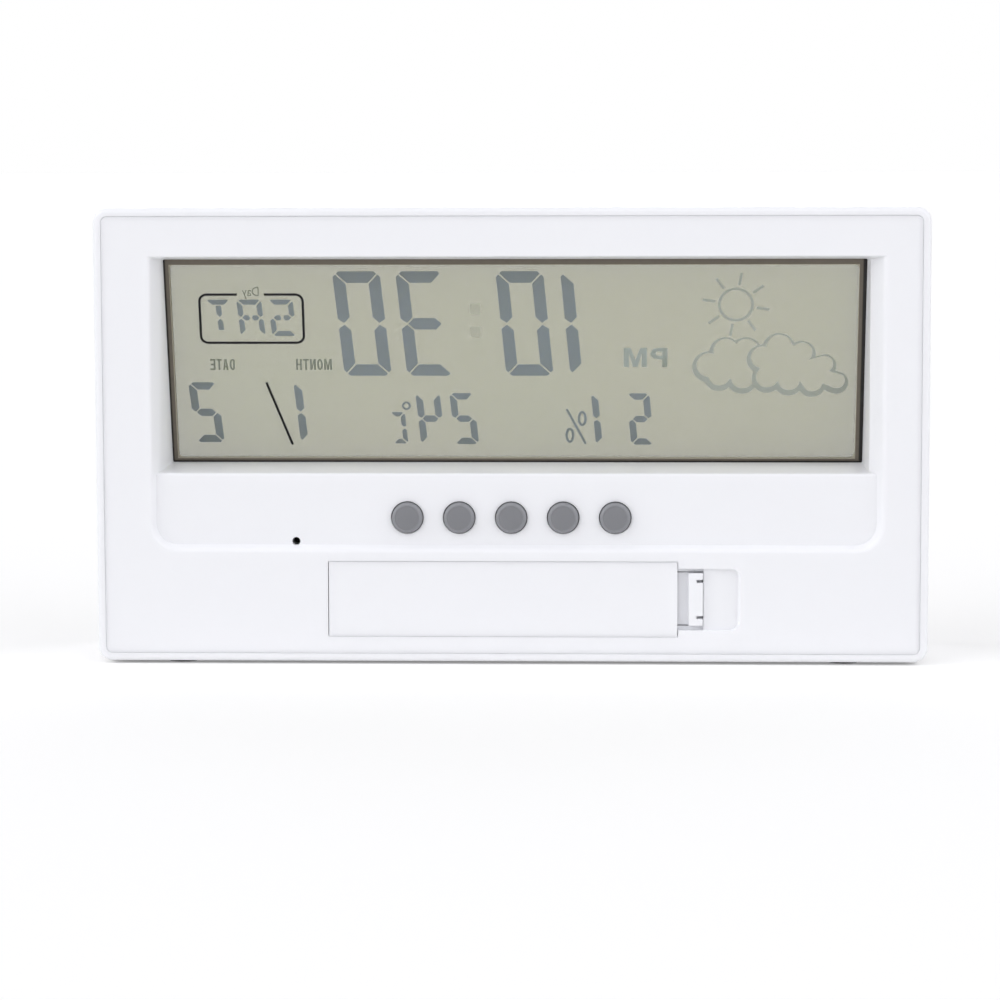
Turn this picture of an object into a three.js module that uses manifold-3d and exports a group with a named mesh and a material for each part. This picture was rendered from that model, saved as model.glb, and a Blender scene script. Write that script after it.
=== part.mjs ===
// A desk weather station with a see-through display, in millimetres with +Z up.
// The back faces +Y, the display leans back from the front, and +X is on the left of a view of the back.
// Inside the housing group y = 0 is the back face, z = 0 is the underside, and a depth d lies at y = -d.

import * as THREE from "three";
import { mergeVertices } from "three/addons/utils/BufferGeometryUtils.js";
import Module from "manifold-3d";

const wasm = await Module();
wasm.setup();

// Housing
const bodyWidth = 170;
const bodyHeight = 92.8;
const frontLean = 16; // degrees that the front face leans back
const cornerRadius = 2.9; // the outline's corners, seen from behind
const rearRound = 0.9;
const frontRound = 2;
const housingWall = 2.4;
const rimWidth = 1.6; // the housing's edge that shows round the back plate
const rimSeat = 0.1; // the back plate's inner face to the step it sits on

// Clearances
const groove = 0.15; // back plate to rim
const coverGap = 0.15; // battery cover to back plate
const seam = 0.3; // round the cover's hidden tabs and spring
const slip = 0.3; // between layers of the leaning display
const touch = 0.1; // between pieces that are pressed together
const play = 0.2; // round moving pieces and screws

// Back plate and its recess
const plateThickness = 2;
const plateCorner = 1.4;
const edgeTaper = 0.4; // the joints round the plate and the cover slant inwards by this much
const mouldWall = 1.6;
const sideBand = 10.35; // body side to recess
const topBand = 9.95; // body top to recess
const recessShift = -1.05; // the recess sits a little to the right, seen from behind
const displayShift = -0.55;
const recessCorner = 5.4;
const recessUpperCorner = 0.3;
const recessSlope = 2.25; // how far the sloping side comes in
const slopeDepth = 3.2; // where the slope ends beside the window
const recessEdgeRound = 0.6;
const shelfDepth = 1.5;
const shelfWall = 1.8;
const shelfHeight = 15.7;
const shelfFillet = 0.6;
const ledgeRise = 0.8; // the ledge below the display rises inwards by this much
const windowDraft = 0.6;
const windowTopDrop = 0.65; // the wall above the window comes down by this much
const windowTopDepth = 4.5;

// Display layers, from the back
const gasketThickness = 0.8;
const gasketShow = 1.35; // how far the gasket stands into the window
const gasketShowBelow = 0.8;
const gasketShift = 0.2; // its opening sits a little to the left, seen from behind
const filmThickness = 0.3;
const filmLap = 2.2;
const glassPlate = 1.1;
const glassLap = 2.5;
const contactLedge = 2.6; // the front glass reaches this far below the rear glass
const lensRoom = 0.5;
const lensThickness = 1.2;
const lensLap = 2.2;
const lensCorner = 1.5;
const bezelClear = 0.9; // the front frame stands back from the gasket's opening by this much
const bezelClearBelow = 2.9; // more below it, because one looks down through the display
const bezelLip = 1.1;
const bezelBevel = 0.9;
const bezelCorner = 1;

// Buttons and their switches
const buttonCount = 5;
const buttonPitch = 10.63;
const buttonRise = 6.6; // button centre above the recess's lower edge
const buttonDiameter = 6.3;
const buttonStandOut = 1.2;
const buttonRound = 0.7;
const buttonDome = 0.15;
const flangeWidth = 0.9;
const flangeThickness = 1;
const stemDiameter = 3.2;
const stemLength = 0.5;
const plungerLift = 0.75;
const plungerLength = 1.4;
const buttonTravel = 0.5;
const switchSize = 6;
const switchHeight = 3.5;

// Reset switch behind its pinhole
const resetX = 44.1;
const resetRise = 1.7; // above the recess's lower edge
const pinholeDiameter = 1.7;
const resetWidth = 4.4;
const resetHeight = 2.4;
const resetThickness = 2.6;
const resetPlungerDiameter = 1.3;
const resetPlungerLength = 1.6;

// Circuit board
const boardLength = 144;
const boardThickness = 1.6;
const boardBottomGap = 0.65; // above the battery bay
const boardTopGap = 1.2; // below the ledge's underside
const postDiameter = 5;
const screwDiameter = 2;
const screwHeadDiameter = 3.8;
const screwHeadHeight = 1.3;
const screwLength = 6.5;
const screwSpreads = [-66, -34, 34, 66];
const screwRise = 6.8;
const stripWidth = 57;
const stripThickness = 0.25;
const stripShift = -0.9;
const stripDip = 2.5; // the strip's lowest stretch above the board's lower edge

// Components on the board
const chipX = -50;
const chipDiameter = 10;
const chipHeight = 1.6;
const crystalX = -40;
const crystalDiameter = 2;
const crystalLength = 6;
const capacitorX = 42;
const capacitorDiameter = 5;
const capacitorHeight = 7;
const thermistorX = 47.8;
const beadDiameter = 2.6;
const beadTop = 4.4; // the bead's far end above the board
const beadLift = 1.5;
const leadDiameter = 0.7;
const sensorX = 56;
const sensorWidth = 10;
const sensorHeight = 8;
const sensorThickness = 3;
const sensorSlots = 3;
const sensorSlotPitch = 2;
const sensorSlotLength = 7;
const sensorSlotWidth = 1;

// Battery and its bay
const batteryDiameter = 14.5;
const batteryLength = 50.5;
const nubDiameter = 5.4;
const nubLength = 1.2;
const bayClearance = 0.375;
const batteryDrop = 0.35; // battery to cover
const springRoom = 5.5;
const contactRoom = 1.5;
const contactThickness = 0.4;
const contactWidth = 9;
const tailWidth = 3;
const tailRise = 1.3; // above the bay's upper wall
const springWire = 0.7;
const springTurns = 3.5;
const springEndDiameter = 4.6;
const springBaseDiameter = 8;

// Battery cover and latch
const coverBottom = 5.3;
const coverThickness = 1.6;
const coverShift = 1.7;
const coverBand = 2.4; // cover to recess
const hingeRoom = 5;
const latchRoom = 9.1;
const tabReach = 1.5;
const tabThickness = 1;
const tabWidth = 3.2;
const tabSpread = 4.2;
const tabRoot = 1.2;
const latchOpening = 5.05; // beyond the cover, along X
const latchOpeningHeight = 12.7;
const latchHead = 2.85;
const latchHeadHeight = 10.8;
const latchHeadThickness = 1.75;
const latchPadHeight = 6.8;
const latchNotch = 1.3;
const latchNotchHeight = 0.65;
const latchSink = 0.15;
const latchWeb = 1; // the thickness of the floor between head and cover
const latchWebReach = 0.2; // under the cover
const guideThickness = 1.5; // the ledges above and below the latch
const springLegThickness = 1;
const springLegDepth = 6.3;
const springLegSpan = 4.4; // between the middles of the two legs
const springGap = 0.3;
const latchSwing = 2.2; // free room beyond the latch for its way out
const scoopLength = 7.6;
const scoopDepth = 1;
const scoopCorner = 1.75;

// Snap hooks that hold the back plate
const hookWidth = 9;
const hookThickness = 1.2;
const hookLength = 4;
const hookNose = 0.7;
const hookNoseLength = 1.6;
const hookGap = 0.25;

// Small pieces
const footDiameter = 7;
const footThickness = 1;
const footSink = 0.4;
const footInset = 6.5;
const footSpread = 68;
const ventCount = 5;
const ventWidth = 1.2;
const ventLength = 9;
const ventPitch = 3.2;
const ventX = 58;
const buzzerDiameter = 12.5;
const buzzerDiscThickness = 0.5;
const ceramicDiameter = 8.8;
const buzzerX = 62;
const buzzerRingHeight = 1.5;
const buzzerRingWall = 1;
const wireDiameter = 0.8;
const wireRun = 5; // how far a wire's pad on the board lies beside its other end

// How finely round forms are divided
const cornerSteps = 6;
const filletSteps = 3;
const buttonSegments = 28;
const smallSegments = 16;
const baySegments = 12;

// Sizes that follow from the ones above
const lean = THREE.MathUtils.degToRad(frontLean);
const tanLean = Math.tan(lean);
const cosLean = Math.cos(lean);
const sinLean = Math.sin(lean);

const coverHeight = batteryDiameter + 2 * bayClearance;
const coverHalf = coverHeight / 2 + coverGap / 2;
const coverZ = coverBottom + coverHeight / 2;
const recessBottom = coverBottom + coverHeight + coverBand;
const recessTop = bodyHeight - topBand;
const recessHalf = bodyWidth / 2 - sideBand;
const shelfTop = recessBottom + shelfHeight;
const windowBottom = shelfTop + ledgeRise;
const slopeRun = recessSlope / slopeDepth; // how far the slope comes in over 1 mm of depth
const windowHalf = recessHalf - recessSlope - windowDraft;
const windowTop = recessTop - windowTopDrop;
const topRun = windowTopDrop / windowTopDepth / slopeRun; // its drop over 1 mm of the side slope's way in
const displayLength = (windowTop - windowBottom) / cosLean;
const displayHalf = displayLength / 2;
const displayZ = (windowTop + windowBottom) / 2;

const gasketFront = slip + gasketThickness;
const rearFilmFront = gasketFront + slip + filmThickness;
const glassRear = rearFilmFront + slip;
const glassFront = glassRear + 2 * glassPlate;
const frontFilmFront = glassFront + slip + filmThickness;
const lensRear = frontFilmFront + lensRoom;
const lensFront = lensRear + lensThickness;
const displayStack = lensFront + slip + bezelLip;
const bezelHalf = windowHalf - gasketShow + bezelClear;
const bezelLow = gasketShowBelow - displayHalf - bezelClearBelow;
const bezelHigh = displayHalf - gasketShow;

const displayY = (z) => -windowTopDepth - (recessTop - z) * tanLean;
const frontY = (z) => displayY(z) - displayStack / cosLean;
const bodyDepth = -frontY(0);
const ledgeRun = ledgeRise / (-displayY(windowBottom) - shelfDepth); // its rise over 1 mm of depth
const ledgeZ = (depth) => shelfTop + (depth - shelfDepth) * ledgeRun;

const buttonZ = recessBottom + buttonRise;
const flangeTop = shelfDepth + shelfWall + touch;
const plungerTop = flangeTop + flangeThickness + stemLength;
const switchTop = plungerTop + plungerLift;
const boardDepth = switchTop + switchHeight;
const bayRadius = coverHeight / 2;
const bayAxisDepth = coverThickness + batteryDrop + batteryDiameter / 2;
const bayTop = coverBottom + coverHeight + mouldWall;
const boardBottom = bayTop + boardBottomGap;
const boardTop = shelfTop - mouldWall - boardTopGap;
const boardZ = (boardBottom + boardTop) / 2;
const screwZ = recessBottom + screwRise;
const resetZ = recessBottom + resetRise;
const resetTop = boardDepth - resetThickness;
const tailDepth = boardDepth - slip - tailWidth / 2;

const bayLength = batteryLength + springRoom + contactRoom;
const openingLength = bayLength + hingeRoom + latchRoom;
const hingeX = coverShift + openingLength / 2;
const latchX = hingeX - openingLength;
const springWallX = hingeX - hingeRoom;
const contactWallX = latchX + latchRoom;
const headX = latchX - latchOpening;
const bayHingeEnd = hingeX + tabReach + 2 * seam;
const bayLatchEnd = headX - latchSwing;
const springX = latchX + seam + 1.5 * springLegThickness - springLegSpan / 2;

const finishes = {
  whitePlastic: { color: 0xedeef3, roughness: 0.38, metalness: 0 },
  greyRubber: { color: 0x808185, roughness: 0.6, metalness: 0 },
  clearPlastic: { color: 0xf4f6f6, roughness: 0.05, metalness: 0, transparent: true, opacity: 0.2 },
  displayGlass: { color: 0x8f8f7c, roughness: 0.12, metalness: 0, transparent: true, opacity: 0.5 },
  filmPlastic: { color: 0x9a9b86, roughness: 0.3, metalness: 0, transparent: true, opacity: 0.4 },
  darkFoam: { color: 0x2a2723, roughness: 0.9, metalness: 0 },
  orangeFilm: { color: 0x9c6a2c, roughness: 0.4, metalness: 0 },
  greenBoard: { color: 0x1f5a37, roughness: 0.45, metalness: 0 },
  blackResin: { color: 0x17171a, roughness: 0.5, metalness: 0 },
  steel: { color: 0xb9bcc0, roughness: 0.3, metalness: 1 },
  brass: { color: 0xc9a24a, roughness: 0.32, metalness: 1 },
  cellSleeve: { color: 0x6c7176, roughness: 0.35, metalness: 0.3 },
  sensorWhite: { color: 0xdcdcd6, roughness: 0.6, metalness: 0 },
  redWire: { color: 0xa82420, roughness: 0.5, metalness: 0 },
  blackWire: { color: 0x1d1d1f, roughness: 0.5, metalness: 0 },
  blackRubber: { color: 0x26262a, roughness: 0.85, metalness: 0 },
};

// Turns a closed three.js geometry into a solid that can be joined and cut.
function solid(geometry) {
  const bare = geometry.clone();
  bare.deleteAttribute("normal");
  bare.deleteAttribute("uv");
  const merged = mergeVertices(bare, 1e-4);
  const vertProperties = merged.attributes.position.array;
  const triVerts = new Uint32Array(merged.index.array);
  return new wasm.Manifold(new wasm.Mesh({ numProp: 3, vertProperties, triVerts }));
}

function geometryOf(shape) {
  const { vertProperties, triVerts } = shape.getMesh();
  const geometry = new THREE.BufferGeometry();
  geometry.setAttribute("position", new THREE.BufferAttribute(new Float32Array(vertProperties), 3));
  geometry.setIndex(new THREE.BufferAttribute(new Uint32Array(triVerts), 1));
  geometry.computeVertexNormals();
  return geometry;
}

const joined = (geometries) => geometries.map(solid).reduce((sum, next) => sum.add(next));

function cut(shape, geometries) {
  return geometries.reduce((left, tool) => left.subtract(solid(tool)), shape);
}

// Hangs one named piece on a group; its shape is a geometry or a solid.
function addPiece(group, name, shape, finish) {
  const geometry = shape.isBufferGeometry ? shape : geometryOf(shape);
  const mesh = new THREE.Mesh(geometry, new THREE.MeshStandardMaterial(finish));
  mesh.name = name;
  group.add(mesh);
  return mesh;
}

function block(xMin, xMax, yMin, yMax, zMin, zMax) {
  const box = new THREE.BoxGeometry(xMax - xMin, yMax - yMin, zMax - zMin);
  return box.translate((xMin + xMax) / 2, (yMin + yMax) / 2, (zMin + zMax) / 2);
}

// A round bar along Y between two depths.
function drum(diameter, x, z, fromDepth, toDepth, segments = smallSegments) {
  const bar = new THREE.CylinderGeometry(diameter / 2, diameter / 2, toDepth - fromDepth, segments);
  return bar.translate(x, -(fromDepth + toDepth) / 2, z);
}

// A piece turned on an axis along Y, from (radius, depth) points that start and end at radius 0.
function turned(profile, x, z, segments) {
  const points = profile.map(([radius, depth]) => new THREE.Vector2(radius, -depth));
  return new THREE.LatheGeometry(points, segments).translate(x, 0, z);
}

// A flat shape drawn in x and y, pulled up along Z.
function pulledUp(shape, zMin, zMax) {
  const options = { depth: zMax - zMin, bevelEnabled: false, curveSegments: baySegments };
  return new THREE.ExtrudeGeometry(shape, options).translate(0, 0, zMin);
}

// A flat shape drawn with x downwards and y to the back, pulled along X at a height.
function pulledAcross(shape, xMin, xMax, z) {
  const options = { depth: xMax - xMin, bevelEnabled: false, curveSegments: baySegments };
  return new THREE.ExtrudeGeometry(shape, options).rotateY(Math.PI / 2).translate(xMin, 0, z);
}

// The [x, z] points of an upright rectangle with rounded corners, anticlockwise as seen from the front.
function outline(xMin, xMax, zMin, zMax, radius, lowerRadius = radius) {
  const corners = [
    [xMax - lowerRadius, zMin + lowerRadius, lowerRadius],
    [xMax - radius, zMax - radius, radius],
    [xMin + radius, zMax - radius, radius],
    [xMin + lowerRadius, zMin + lowerRadius, lowerRadius],
  ];
  return corners.flatMap(([x, z, r], corner) =>
    Array.from({ length: cornerSteps + 1 }, (_, i) => {
      const angle = ((corner - 1 + i / cornerSteps) * Math.PI) / 2;
      return [x + r * Math.cos(angle), z + r * Math.sin(angle)];
    }),
  );
}

const atDepth = (points, depth) => points.map(([x, z]) => new THREE.Vector3(x, -depth, z));
const onPlane = (points, yOf) => points.map(([x, z]) => new THREE.Vector3(x, yOf(z), z));

// A closed skin through rings of points, given from the front to the back.
function loft(rings) {
  const count = rings[0].length;
  const middle = (ring) => ring.reduce((sum, p) => sum.add(p), new THREE.Vector3()).divideScalar(count);
  const points = [...rings.flat(), middle(rings[0]), middle(rings.at(-1))];
  const frontMiddle = points.length - 2;
  const rearMiddle = points.length - 1;
  const rearStart = (rings.length - 1) * count;
  const faces = [];
  for (let i = 0; i < count; i++) {
    const next = (i + 1) % count;
    faces.push(frontMiddle, i, next, rearMiddle, rearStart + next, rearStart + i);
    for (let start = 0; start < rearStart; start += count) {
      const [a, b] = [start + i, start + next];
      faces.push(a, a + count, b, b, a + count, b + count);
    }
  }
  return new THREE.BufferGeometry().setFromPoints(points).setIndex(faces);
}

// An outline of the body drawn in by an inset on every side.
function bodyOutline(inset, radius = cornerRadius) {
  const half = bodyWidth / 2 - inset;
  return outline(-half, half, inset, bodyHeight - inset, Math.max(radius - inset, 0.3));
}

// The display's own frame: x across, y to the back, z up along the glass.
const display = new THREE.Group();
display.name = "display";
display.position.set(displayShift, displayY(displayZ), displayZ);
display.rotation.x = -lean;
display.updateMatrix();
const leaning = (geometry) => geometry.applyMatrix4(display.matrix);

// A layer parallel to the glass, between two distances in front of the window frame's end.
function layer(halfWidth, low, high, rear, front, radius = 0.3) {
  const points = outline(-halfWidth, halfWidth, low, high, radius);
  return loft([atDepth(points, front), atDepth(points, rear)]);
}

function frontHousing() {
  const rings = [];
  for (let i = 0; i <= filletSteps; i++) {
    const turn = ((i / filletSteps) * Math.PI) / 2;
    const inset = frontRound * (1 - Math.sin(turn));
    rings.push(onPlane(bodyOutline(inset), (z) => frontY(z) + frontRound * (1 - Math.cos(turn))));
  }
  for (let i = 0; i <= filletSteps; i++) {
    const turn = ((i / filletSteps) * Math.PI) / 2;
    rings.push(atDepth(bodyOutline(rearRound * (1 - Math.cos(turn))), rearRound * (1 - Math.sin(turn))));
  }

  const frontWall = housingWall / cosLean;
  const seatDepth = plateThickness + rimSeat;
  const inner = bodyOutline(housingWall);
  const seat = bodyOutline(rimWidth + edgeTaper);
  const rim = bodyOutline(rimWidth);
  const cavity = loft([
    onPlane(inner, (z) => frontY(z) + frontWall),
    atDepth(inner, seatDepth + 0.01),
    atDepth(seat, seatDepth),
    atDepth(seat, edgeTaper),
    atDepth(rim, 0),
    atDepth(rim, -1),
  ]);

  const shell = cut(solid(loft(rings)), [cavity, windowCutter(), lensSeatCutter(), ...ventCutters()]);
  const ribbed = glassRibs().reduce((sum, rib) => sum.add(solid(rib)), shell);
  return cut(ribbed, [...hookPockets(), ...footPositions().map(([x, y]) => footDisc(x, y, play))]);
}

// The opening of the front frame, bevelled towards the viewer.
function windowCutter() {
  const grown = (by, radius) =>
    outline(-bezelHalf - by, bezelHalf + by, bezelLow - by, bezelHigh + by, radius);
  const front = displayStack + bezelBevel;
  return leaning(
    loft([
      atDepth(grown(2 * bezelBevel, bezelCorner + 2 * bezelBevel), front),
      atDepth(grown(0, bezelCorner), displayStack - bezelBevel),
      atDepth(grown(0, bezelCorner), lensRear - 1),
    ]),
  );
}

function lensSeatCutter() {
  const lap = lensLap + play;
  return leaning(
    layer(windowHalf + lap, bezelLow - lap, displayHalf + lap, lensRear - 1, lensFront + slip, lensCorner),
  );
}

// Ribs that locate the glass beside and above it.
function glassRibs() {
  const innerFace = displayStack - housingWall;
  const side = windowHalf + glassLap + slip;
  const above = displayHalf + glassLap + slip;
  const ribReach = displayHalf * 0.75;
  const root = -innerFace - 0.5;
  const sideRib = (x) => block(x, x + hookThickness, root, -glassRear, -ribReach, ribReach);
  const topRib = (x) => block(x - hookWidth, x + hookWidth, root, -glassRear, above, above + hookThickness);
  const ribs = [sideRib(side), sideRib(-side - hookThickness)];
  ribs.push(...[-1, 1].map((hand) => topRib((hand * windowHalf) / 2)));
  return ribs.map(leaning);
}

function ventCutters() {
  const [front, rear] = [-1, 1].map((hand) => (hand * ventLength - bodyDepth) / 2);
  return Array.from({ length: ventCount }, (_, i) => {
    const x = ventX + (i - (ventCount - 1) / 2) * ventPitch;
    return block(x - ventWidth / 2, x + ventWidth / 2, front, rear, -1, housingWall + 1);
  });
}

// Where the hooks sit: [x, z, direction that the nose points in].
function hookPlaces() {
  const inset = housingWall + hookGap;
  const side = bodyWidth / 2 - inset;
  const top = bodyHeight - inset;
  const spread = recessHalf * 0.75;
  return [
    [-spread, top, "up"],
    [0, top, "up"],
    [spread, top, "up"],
    [-spread, inset, "down"],
    [spread, inset, "down"],
    [side, displayZ, "left"],
    [-side, displayZ, "right"],
  ];
}

// A tongue with a ramped nose, drawn upwards from its root on the plate and turned to its direction.
function hook([x, z, direction], grow = 0) {
  const tongue = new THREE.Shape();
  const root = -plateThickness + 0.5;
  const tip = -plateThickness - hookLength - grow;
  const noseStart = tip + hookNoseLength + 2 * grow;
  tongue.moveTo(-hookThickness, root).lineTo(-hookThickness, tip).lineTo(0, tip);
  tongue.lineTo(hookNose + grow, noseStart).lineTo(0, noseStart).lineTo(0, root);
  const piece = new THREE.ExtrudeGeometry(tongue, { depth: hookWidth + 2 * grow, bevelEnabled: false });
  const turns = { up: -Math.PI / 2, down: Math.PI / 2, left: 0, right: Math.PI };
  piece.translate(0, 0, -hookWidth / 2 - grow).rotateY(turns[direction]);
  return piece.translate(x, 0, z);
}

const hookPockets = () => hookPlaces().map((place) => hook(place, play));

function footPositions() {
  const front = -bodyDepth + footInset + frontRound;
  return [-footSpread, footSpread].flatMap((x) => [-footInset, front].map((y) => [x, y]));
}

function footDisc(x, y, grow = 0) {
  const radius = footDiameter / 2 + grow;
  const disc = new THREE.CylinderGeometry(radius, radius, footThickness, smallSegments).rotateX(Math.PI / 2);
  return disc.translate(x, y, footSink - footThickness / 2);
}

// The recess's outline where its slope has come in by an inset, above a lower edge.
function slopeOutline(inset, bottom, lowerCorner) {
  const half = recessHalf - inset;
  const shift = THREE.MathUtils.lerp(recessShift, displayShift, inset / recessSlope);
  const top = recessTop - inset * (inset < 0 ? 0.5 : topRun);
  return outline(shift - half, shift + half, bottom, top, recessUpperCorner, lowerCorner);
}

// The hollow from the plate's face down to the shelf, with a rounded lip.
function recessHollow() {
  const profile = new THREE.Path();
  profile.moveTo(shelfDepth * slopeRun, shelfDepth);
  profile.lineTo(recessEdgeRound * slopeRun, recessEdgeRound);
  profile.quadraticCurveTo(0, 0, -recessEdgeRound, 0);
  profile.lineTo(-recessEdgeRound, -1);
  const rings = profile.getPoints(filletSteps).map(({ x: inset, y: depth }) =>
    atDepth(slopeOutline(inset, recessBottom + inset, recessCorner - inset), depth),
  );
  return loft(rings);
}

function windowOutline(half, bottom, grow = 0) {
  const [left, right] = [displayShift - half - grow, displayShift + half + grow];
  return outline(left, right, bottom - grow, windowTop + grow, recessUpperCorner);
}

// The hollow in front of the glass: the ledge's rounded edge, the rest of the sloping sides, the steep walls.
function windowHollow() {
  const inner = windowOutline(windowHalf, windowBottom);
  const ring = (z, depth) => atDepth(slopeOutline(depth * slopeRun, z, recessUpperCorner), depth);
  const edge = new THREE.Path();
  edge.moveTo(ledgeZ(slopeDepth), slopeDepth);
  edge.lineTo(ledgeZ(shelfDepth + shelfFillet), shelfDepth + shelfFillet);
  edge.quadraticCurveTo(shelfTop, shelfDepth, shelfTop - shelfFillet, shelfDepth);
  const lips = edge.getPoints(filletSteps).map(({ x: z, y: depth }) => ring(z, depth));
  const mouth = lips.at(-1).map((p) => p.clone().setY(-shelfDepth / 2));
  return loft([onPlane(inner, (z) => displayY(z) - 1), onPlane(inner, displayY), ...lips, mouth]);
}

// The walls behind the recess: a pan under the shelf and a frame round the window that ends at the display.
function recessWalls() {
  const pan = slopeOutline(0, recessBottom, recessUpperCorner);
  const frame = windowOutline(windowHalf, windowBottom, mouldWall);
  const frameRoot = slopeOutline(0, shelfTop - mouldWall, recessUpperCorner);
  return [
    loft([atDepth(pan, shelfDepth + shelfWall), atDepth(pan, plateThickness / 2)]),
    loft([onPlane(frame, displayY), atDepth(frameRoot, plateThickness / 2)]),
  ];
}

function backPlate() {
  const inset = rimWidth + groove;
  const face = bodyOutline(inset, plateCorner + inset);
  const foot = bodyOutline(inset + edgeTaper, plateCorner + inset);
  return loft([atDepth(foot, plateThickness), atDepth(foot, edgeTaper), atDepth(face, 0)]);
}

// The battery bay's section: straight sides and a half-round floor.
function baySection(radius, top) {
  const section = new THREE.Shape();
  section.moveTo(radius, top).lineTo(radius, -bayAxisDepth);
  section.absarc(0, -bayAxisDepth, radius, 0, -Math.PI, true);
  section.lineTo(-radius, top);
  return section;
}

const baySolid = (xMin, xMax, radius, top) => pulledAcross(baySection(radius, top), xMin, xMax, coverZ);

const bayHollow = () => baySolid(bayLatchEnd, bayHingeEnd, bayRadius, -plateThickness);

// The walls across the bay that carry the two contacts.
function bayDividers() {
  const top = -coverThickness - touch;
  const radius = bayRadius + mouldWall / 2;
  return [
    baySolid(springWallX, springWallX + mouldWall, radius, top),
    baySolid(contactWallX - mouldWall, contactWallX, radius, top),
  ];
}

// Ledges in the bay that close the gaps above and below the latch.
function latchGuides() {
  const top = -plateThickness + touch + play;
  const near = latchHeadHeight / 2 + play;
  const far = bayRadius + mouldWall / 2;
  return [coverZ + near, coverZ - far].map((low) =>
    block(bayLatchEnd - mouldWall / 2, latchX + 1, top - guideThickness, top, low, low + far - near),
  );
}

// The cover's section between its two long edges, which slant in; its opening has the same one, grown.
function coverSection(half, rise, bottom) {
  const foot = half - edgeTaper;
  const section = new THREE.Shape();
  section.moveTo(-half - rise, rise).lineTo(-foot, -edgeTaper).lineTo(-foot, bottom);
  section.lineTo(foot, bottom).lineTo(foot, -edgeTaper).lineTo(half + rise, rise);
  return section;
}

// The plate's cuts for the cover, its latch and the finger scoop.
function coverCutters() {
  const low = coverZ - latchOpeningHeight / 2;
  const high = coverZ + latchOpeningHeight / 2;
  const opening = coverSection(coverHalf + coverGap, 1, -plateThickness - touch);
  const scoopEnd = headX - scoopLength;
  const scoop = outline(scoopEnd, headX + 1, low, high, scoopCorner);
  const foot = outline(scoopEnd + scoopDepth / 2, headX + 1, low, high, scoopCorner);
  return [
    pulledAcross(opening, latchX, hingeX, coverZ),
    block(headX - touch, latchX + 1, -plateThickness - touch, 1, low, high),
    loft([atDepth(foot, scoopDepth), atDepth(scoop, 0), atDepth(scoop, -1)]),
  ];
}

// Slots in the bay's upper wall for the contacts' solder tails.
function tailSlots() {
  const reach = tailWidth / 2 + play;
  return tailPlaces().map((x) =>
    block(x - play, x + contactThickness + play, -tailDepth - reach, -tailDepth + reach, coverZ, bayTop + 1),
  );
}

// The lower X of the two contact plates.
const tailPlaces = () => [springWallX - touch - contactThickness, contactWallX + touch];

const buttonPlaces = () =>
  Array.from({ length: buttonCount }, (_, i) => ((buttonCount - 1) / 2 - i) * buttonPitch);

function shelfPosts() {
  const root = shelfDepth + shelfWall - 0.5;
  return screwSpreads.map((x) => drum(postDiameter, x, screwZ, root, boardDepth - touch));
}

function shelfHoles() {
  const holes = buttonPlaces().map((x) =>
    drum(buttonDiameter + 2 * play, x, buttonZ, 0, flangeTop + 1, buttonSegments),
  );
  const screwEnd = boardDepth + boardThickness - screwLength - play;
  const screws = screwSpreads.map((x) => drum(screwDiameter + play, x, screwZ, screwEnd, boardDepth + 1));
  return [...holes, ...screws, drum(pinholeDiameter, resetX, resetZ, 0, flangeTop + 1)];
}

function buzzerRing() {
  const inner = buzzerDiameter / 2 + play;
  const from = plateThickness - 0.5;
  const to = plateThickness + buzzerRingHeight;
  const ring = solid(drum(2 * (inner + buzzerRingWall), buzzerX, coverZ, from, to, buttonSegments));
  return cut(ring, [drum(2 * inner, buzzerX, coverZ, plateThickness, to + 1, buttonSegments)]);
}

function backCover() {
  const bayWall = bayRadius + mouldWall;
  const bay = baySolid(bayLatchEnd - mouldWall, bayHingeEnd + mouldWall, bayWall, -plateThickness / 2);
  const hooks = hookPlaces().map((place) => hook(place));
  const mass = joined([backPlate(), ...recessWalls(), bay, ...shelfPosts(), ...hooks]);
  const open = cut(mass, [recessHollow(), windowHollow(), bayHollow(), ...shelfHoles(), ...coverCutters()]);
  const fitted = open.add(joined([...bayDividers(), ...latchGuides()])).add(buzzerRing());
  return cut(fitted, tailSlots());
}

// The cap of one button: a soft-edged top, a flange behind the shelf and a stem for the switch.
function buttonCap(x) {
  const radius = buttonDiameter / 2;
  const top = shelfDepth - buttonStandOut;
  const side = new THREE.Path();
  side.moveTo(0, top - buttonDome);
  side.quadraticCurveTo(radius / 2, top - buttonDome, radius - buttonRound, top);
  side.quadraticCurveTo(radius, top, radius, top + buttonRound);
  const flange = radius + flangeWidth;
  const profile = side.getPoints(filletSteps).map((p) => [p.x, p.y]);
  profile.push([radius, flangeTop], [flange, flangeTop], [flange, flangeTop + flangeThickness]);
  profile.push([stemDiameter / 2, flangeTop + flangeThickness], [stemDiameter / 2, plungerTop - touch / 2]);
  profile.push([0, plungerTop - touch / 2]);
  return turned(profile.reverse(), x, buttonZ, buttonSegments);
}

function tactSwitch(x) {
  const half = switchSize / 2;
  const body = block(x - half, x + half, -boardDepth + touch, -switchTop, buttonZ - half, buttonZ + half);
  const boreEnd = plungerTop + plungerLength + buttonTravel + play;
  return cut(solid(body), [drum(stemDiameter + 2 * play, x, buttonZ, switchTop - 1, boreEnd)]);
}

const tactPlunger = (x) => drum(stemDiameter, x, buttonZ, plungerTop, plungerTop + plungerLength);

function resetSwitch() {
  const [left, right] = [resetX - resetWidth / 2, resetX + resetWidth / 2];
  const [low, high] = [resetZ - resetHeight / 2, resetZ + resetHeight / 2];
  const body = block(left, right, -boardDepth + touch, -resetTop, low, high);
  const bore = resetPlungerDiameter + 2 * play;
  return cut(solid(body), [drum(bore, resetX, resetZ, resetTop - 1, resetTop + resetPlungerLength)]);
}

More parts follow.
